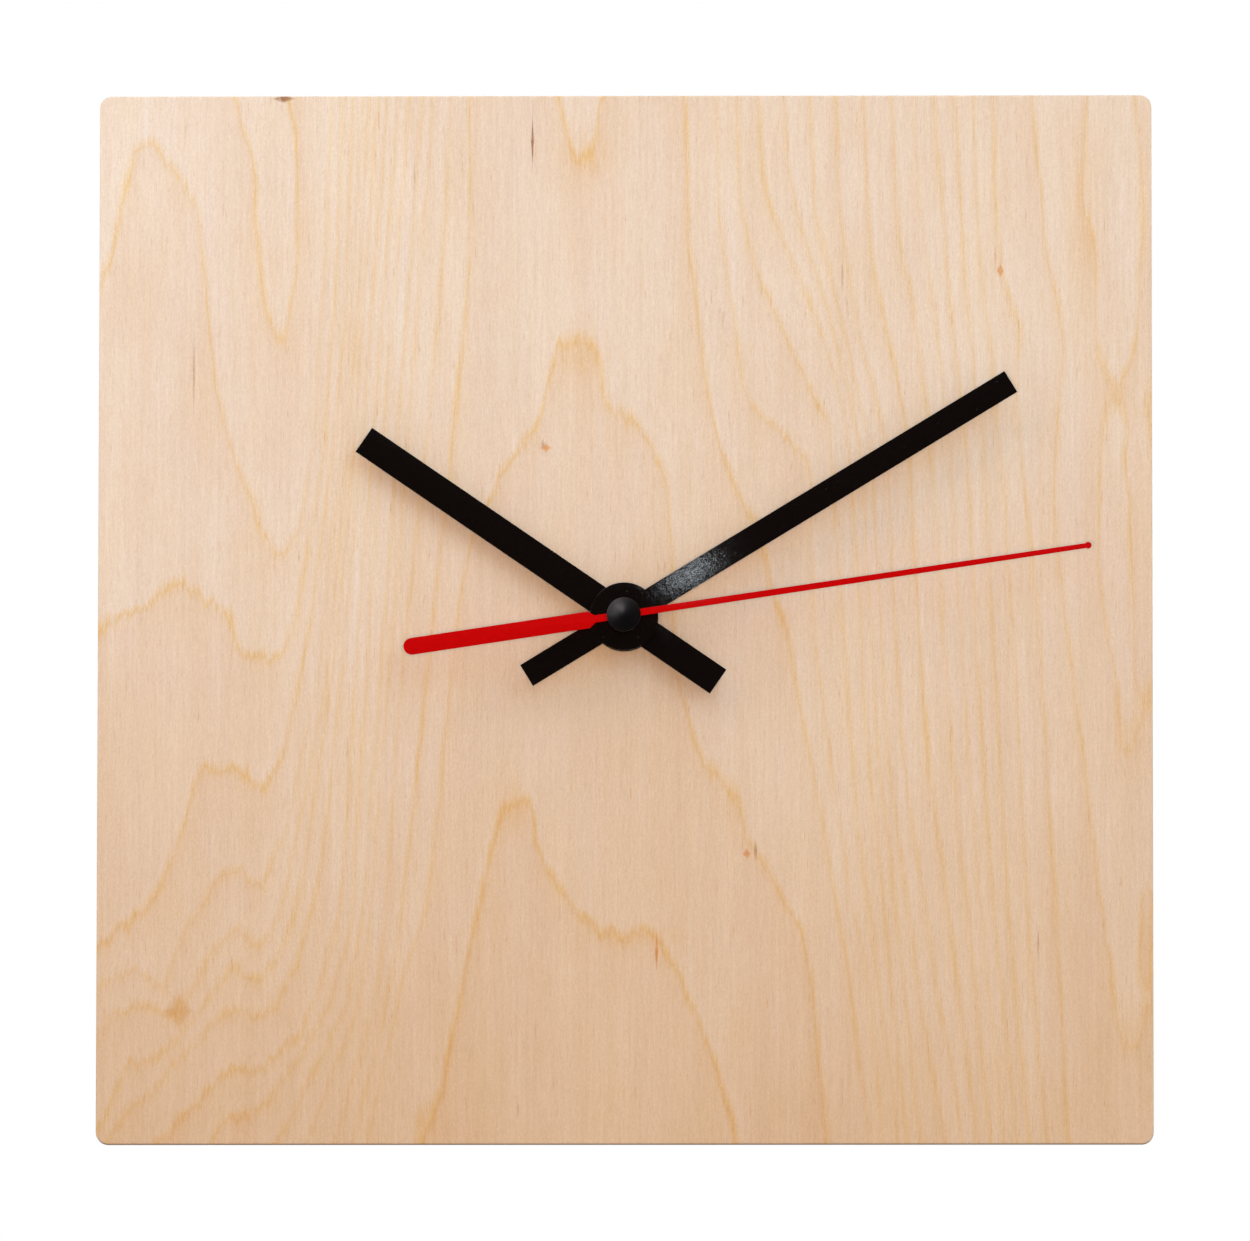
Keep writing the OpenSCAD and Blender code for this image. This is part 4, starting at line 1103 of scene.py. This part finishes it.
softbox("behind_left", (-1.3, 1.5, 0.9), (1.2, 1.2), 26)
softbox("behind_right", (1.5, 1.2, 0.3), (1.2, 1.2), 16)

# A narrow glossy light that draws the short highlight on the minute hand
glint = bpy.data.lights.new("glint", "SPOT")
glint.energy, glint.color = 0.026, (0.86, 0.94, 1.0)
glint.spot_size, glint.spot_blend, glint.shadow_soft_size = math.radians(30), 1.0, 0.003
glint_spot = Vector((axis_at[0] + 22.4 * MM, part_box("minute_hand")[0].y, axis_at[1] + 16.8 * MM))
lamp(glint, glint_spot, Vector((-1.5, -87.0, 10.0)) * MM, diffuse=False)

world = bpy.data.worlds.new("world")
bpy.context.scene.world = world
world.use_nodes = True
tree = world.node_tree
rays = tree.nodes.new("ShaderNodeLightPath")


def glow(colour, strength):
    background = tree.nodes.new("ShaderNodeBackground")
    background.inputs["Color"].default_value = (*colour, 1)
    background.inputs["Strength"].default_value = strength
    return background.outputs[0]


def for_rays(kind, chosen, others):
    """One glow for one kind of ray, and another for the rest."""
    choose = tree.nodes.new("ShaderNodeMixShader")
    for i, source in enumerate((rays.outputs[kind], others, chosen)):
        tree.links.new(source, choose.inputs[i])
    return choose.outputs[0]


around = for_rays("Is Glossy Ray", glow((0.95, 0.97, 1.0), 0.022), glow((0.86, 0.90, 1.0), 0.41))
seen = for_rays("Is Camera Ray", glow((1, 1, 1), 1.0), around)
tree.links.new(seen, tree.nodes["World Output"].inputs["Surface"])

view = bpy.context.scene.view_settings
view.view_transform, view.look, view.exposure, view.gamma = "Standard", "None", 0.0, 1.0

lens = bpy.data.cameras.new("camera")
lens.sensor_width, lens.lens = 36.0, 506.3
lens.clip_start, lens.clip_end = 0.1, 200.0
camera = bpy.data.objects.new("camera", lens)
bpy.context.scene.collection.objects.link(camera)
azimuth, elevation, distance = math.radians(1.0), math.radians(-6.5), 5.0
aim = centre + Vector((0, 0, -0.7 * MM))
level = math.cos(elevation)
back = Vector((math.sin(azimuth) * level, -math.cos(azimuth) * level, math.sin(elevation)))
roll = Quaternion((0, 0, 1), math.radians(0.06))
camera.location = aim + back * distance
camera.rotation_euler = ((-back).to_track_quat("-Z", "Y") @ roll).to_euler()
bpy.context.scene.camera = camera
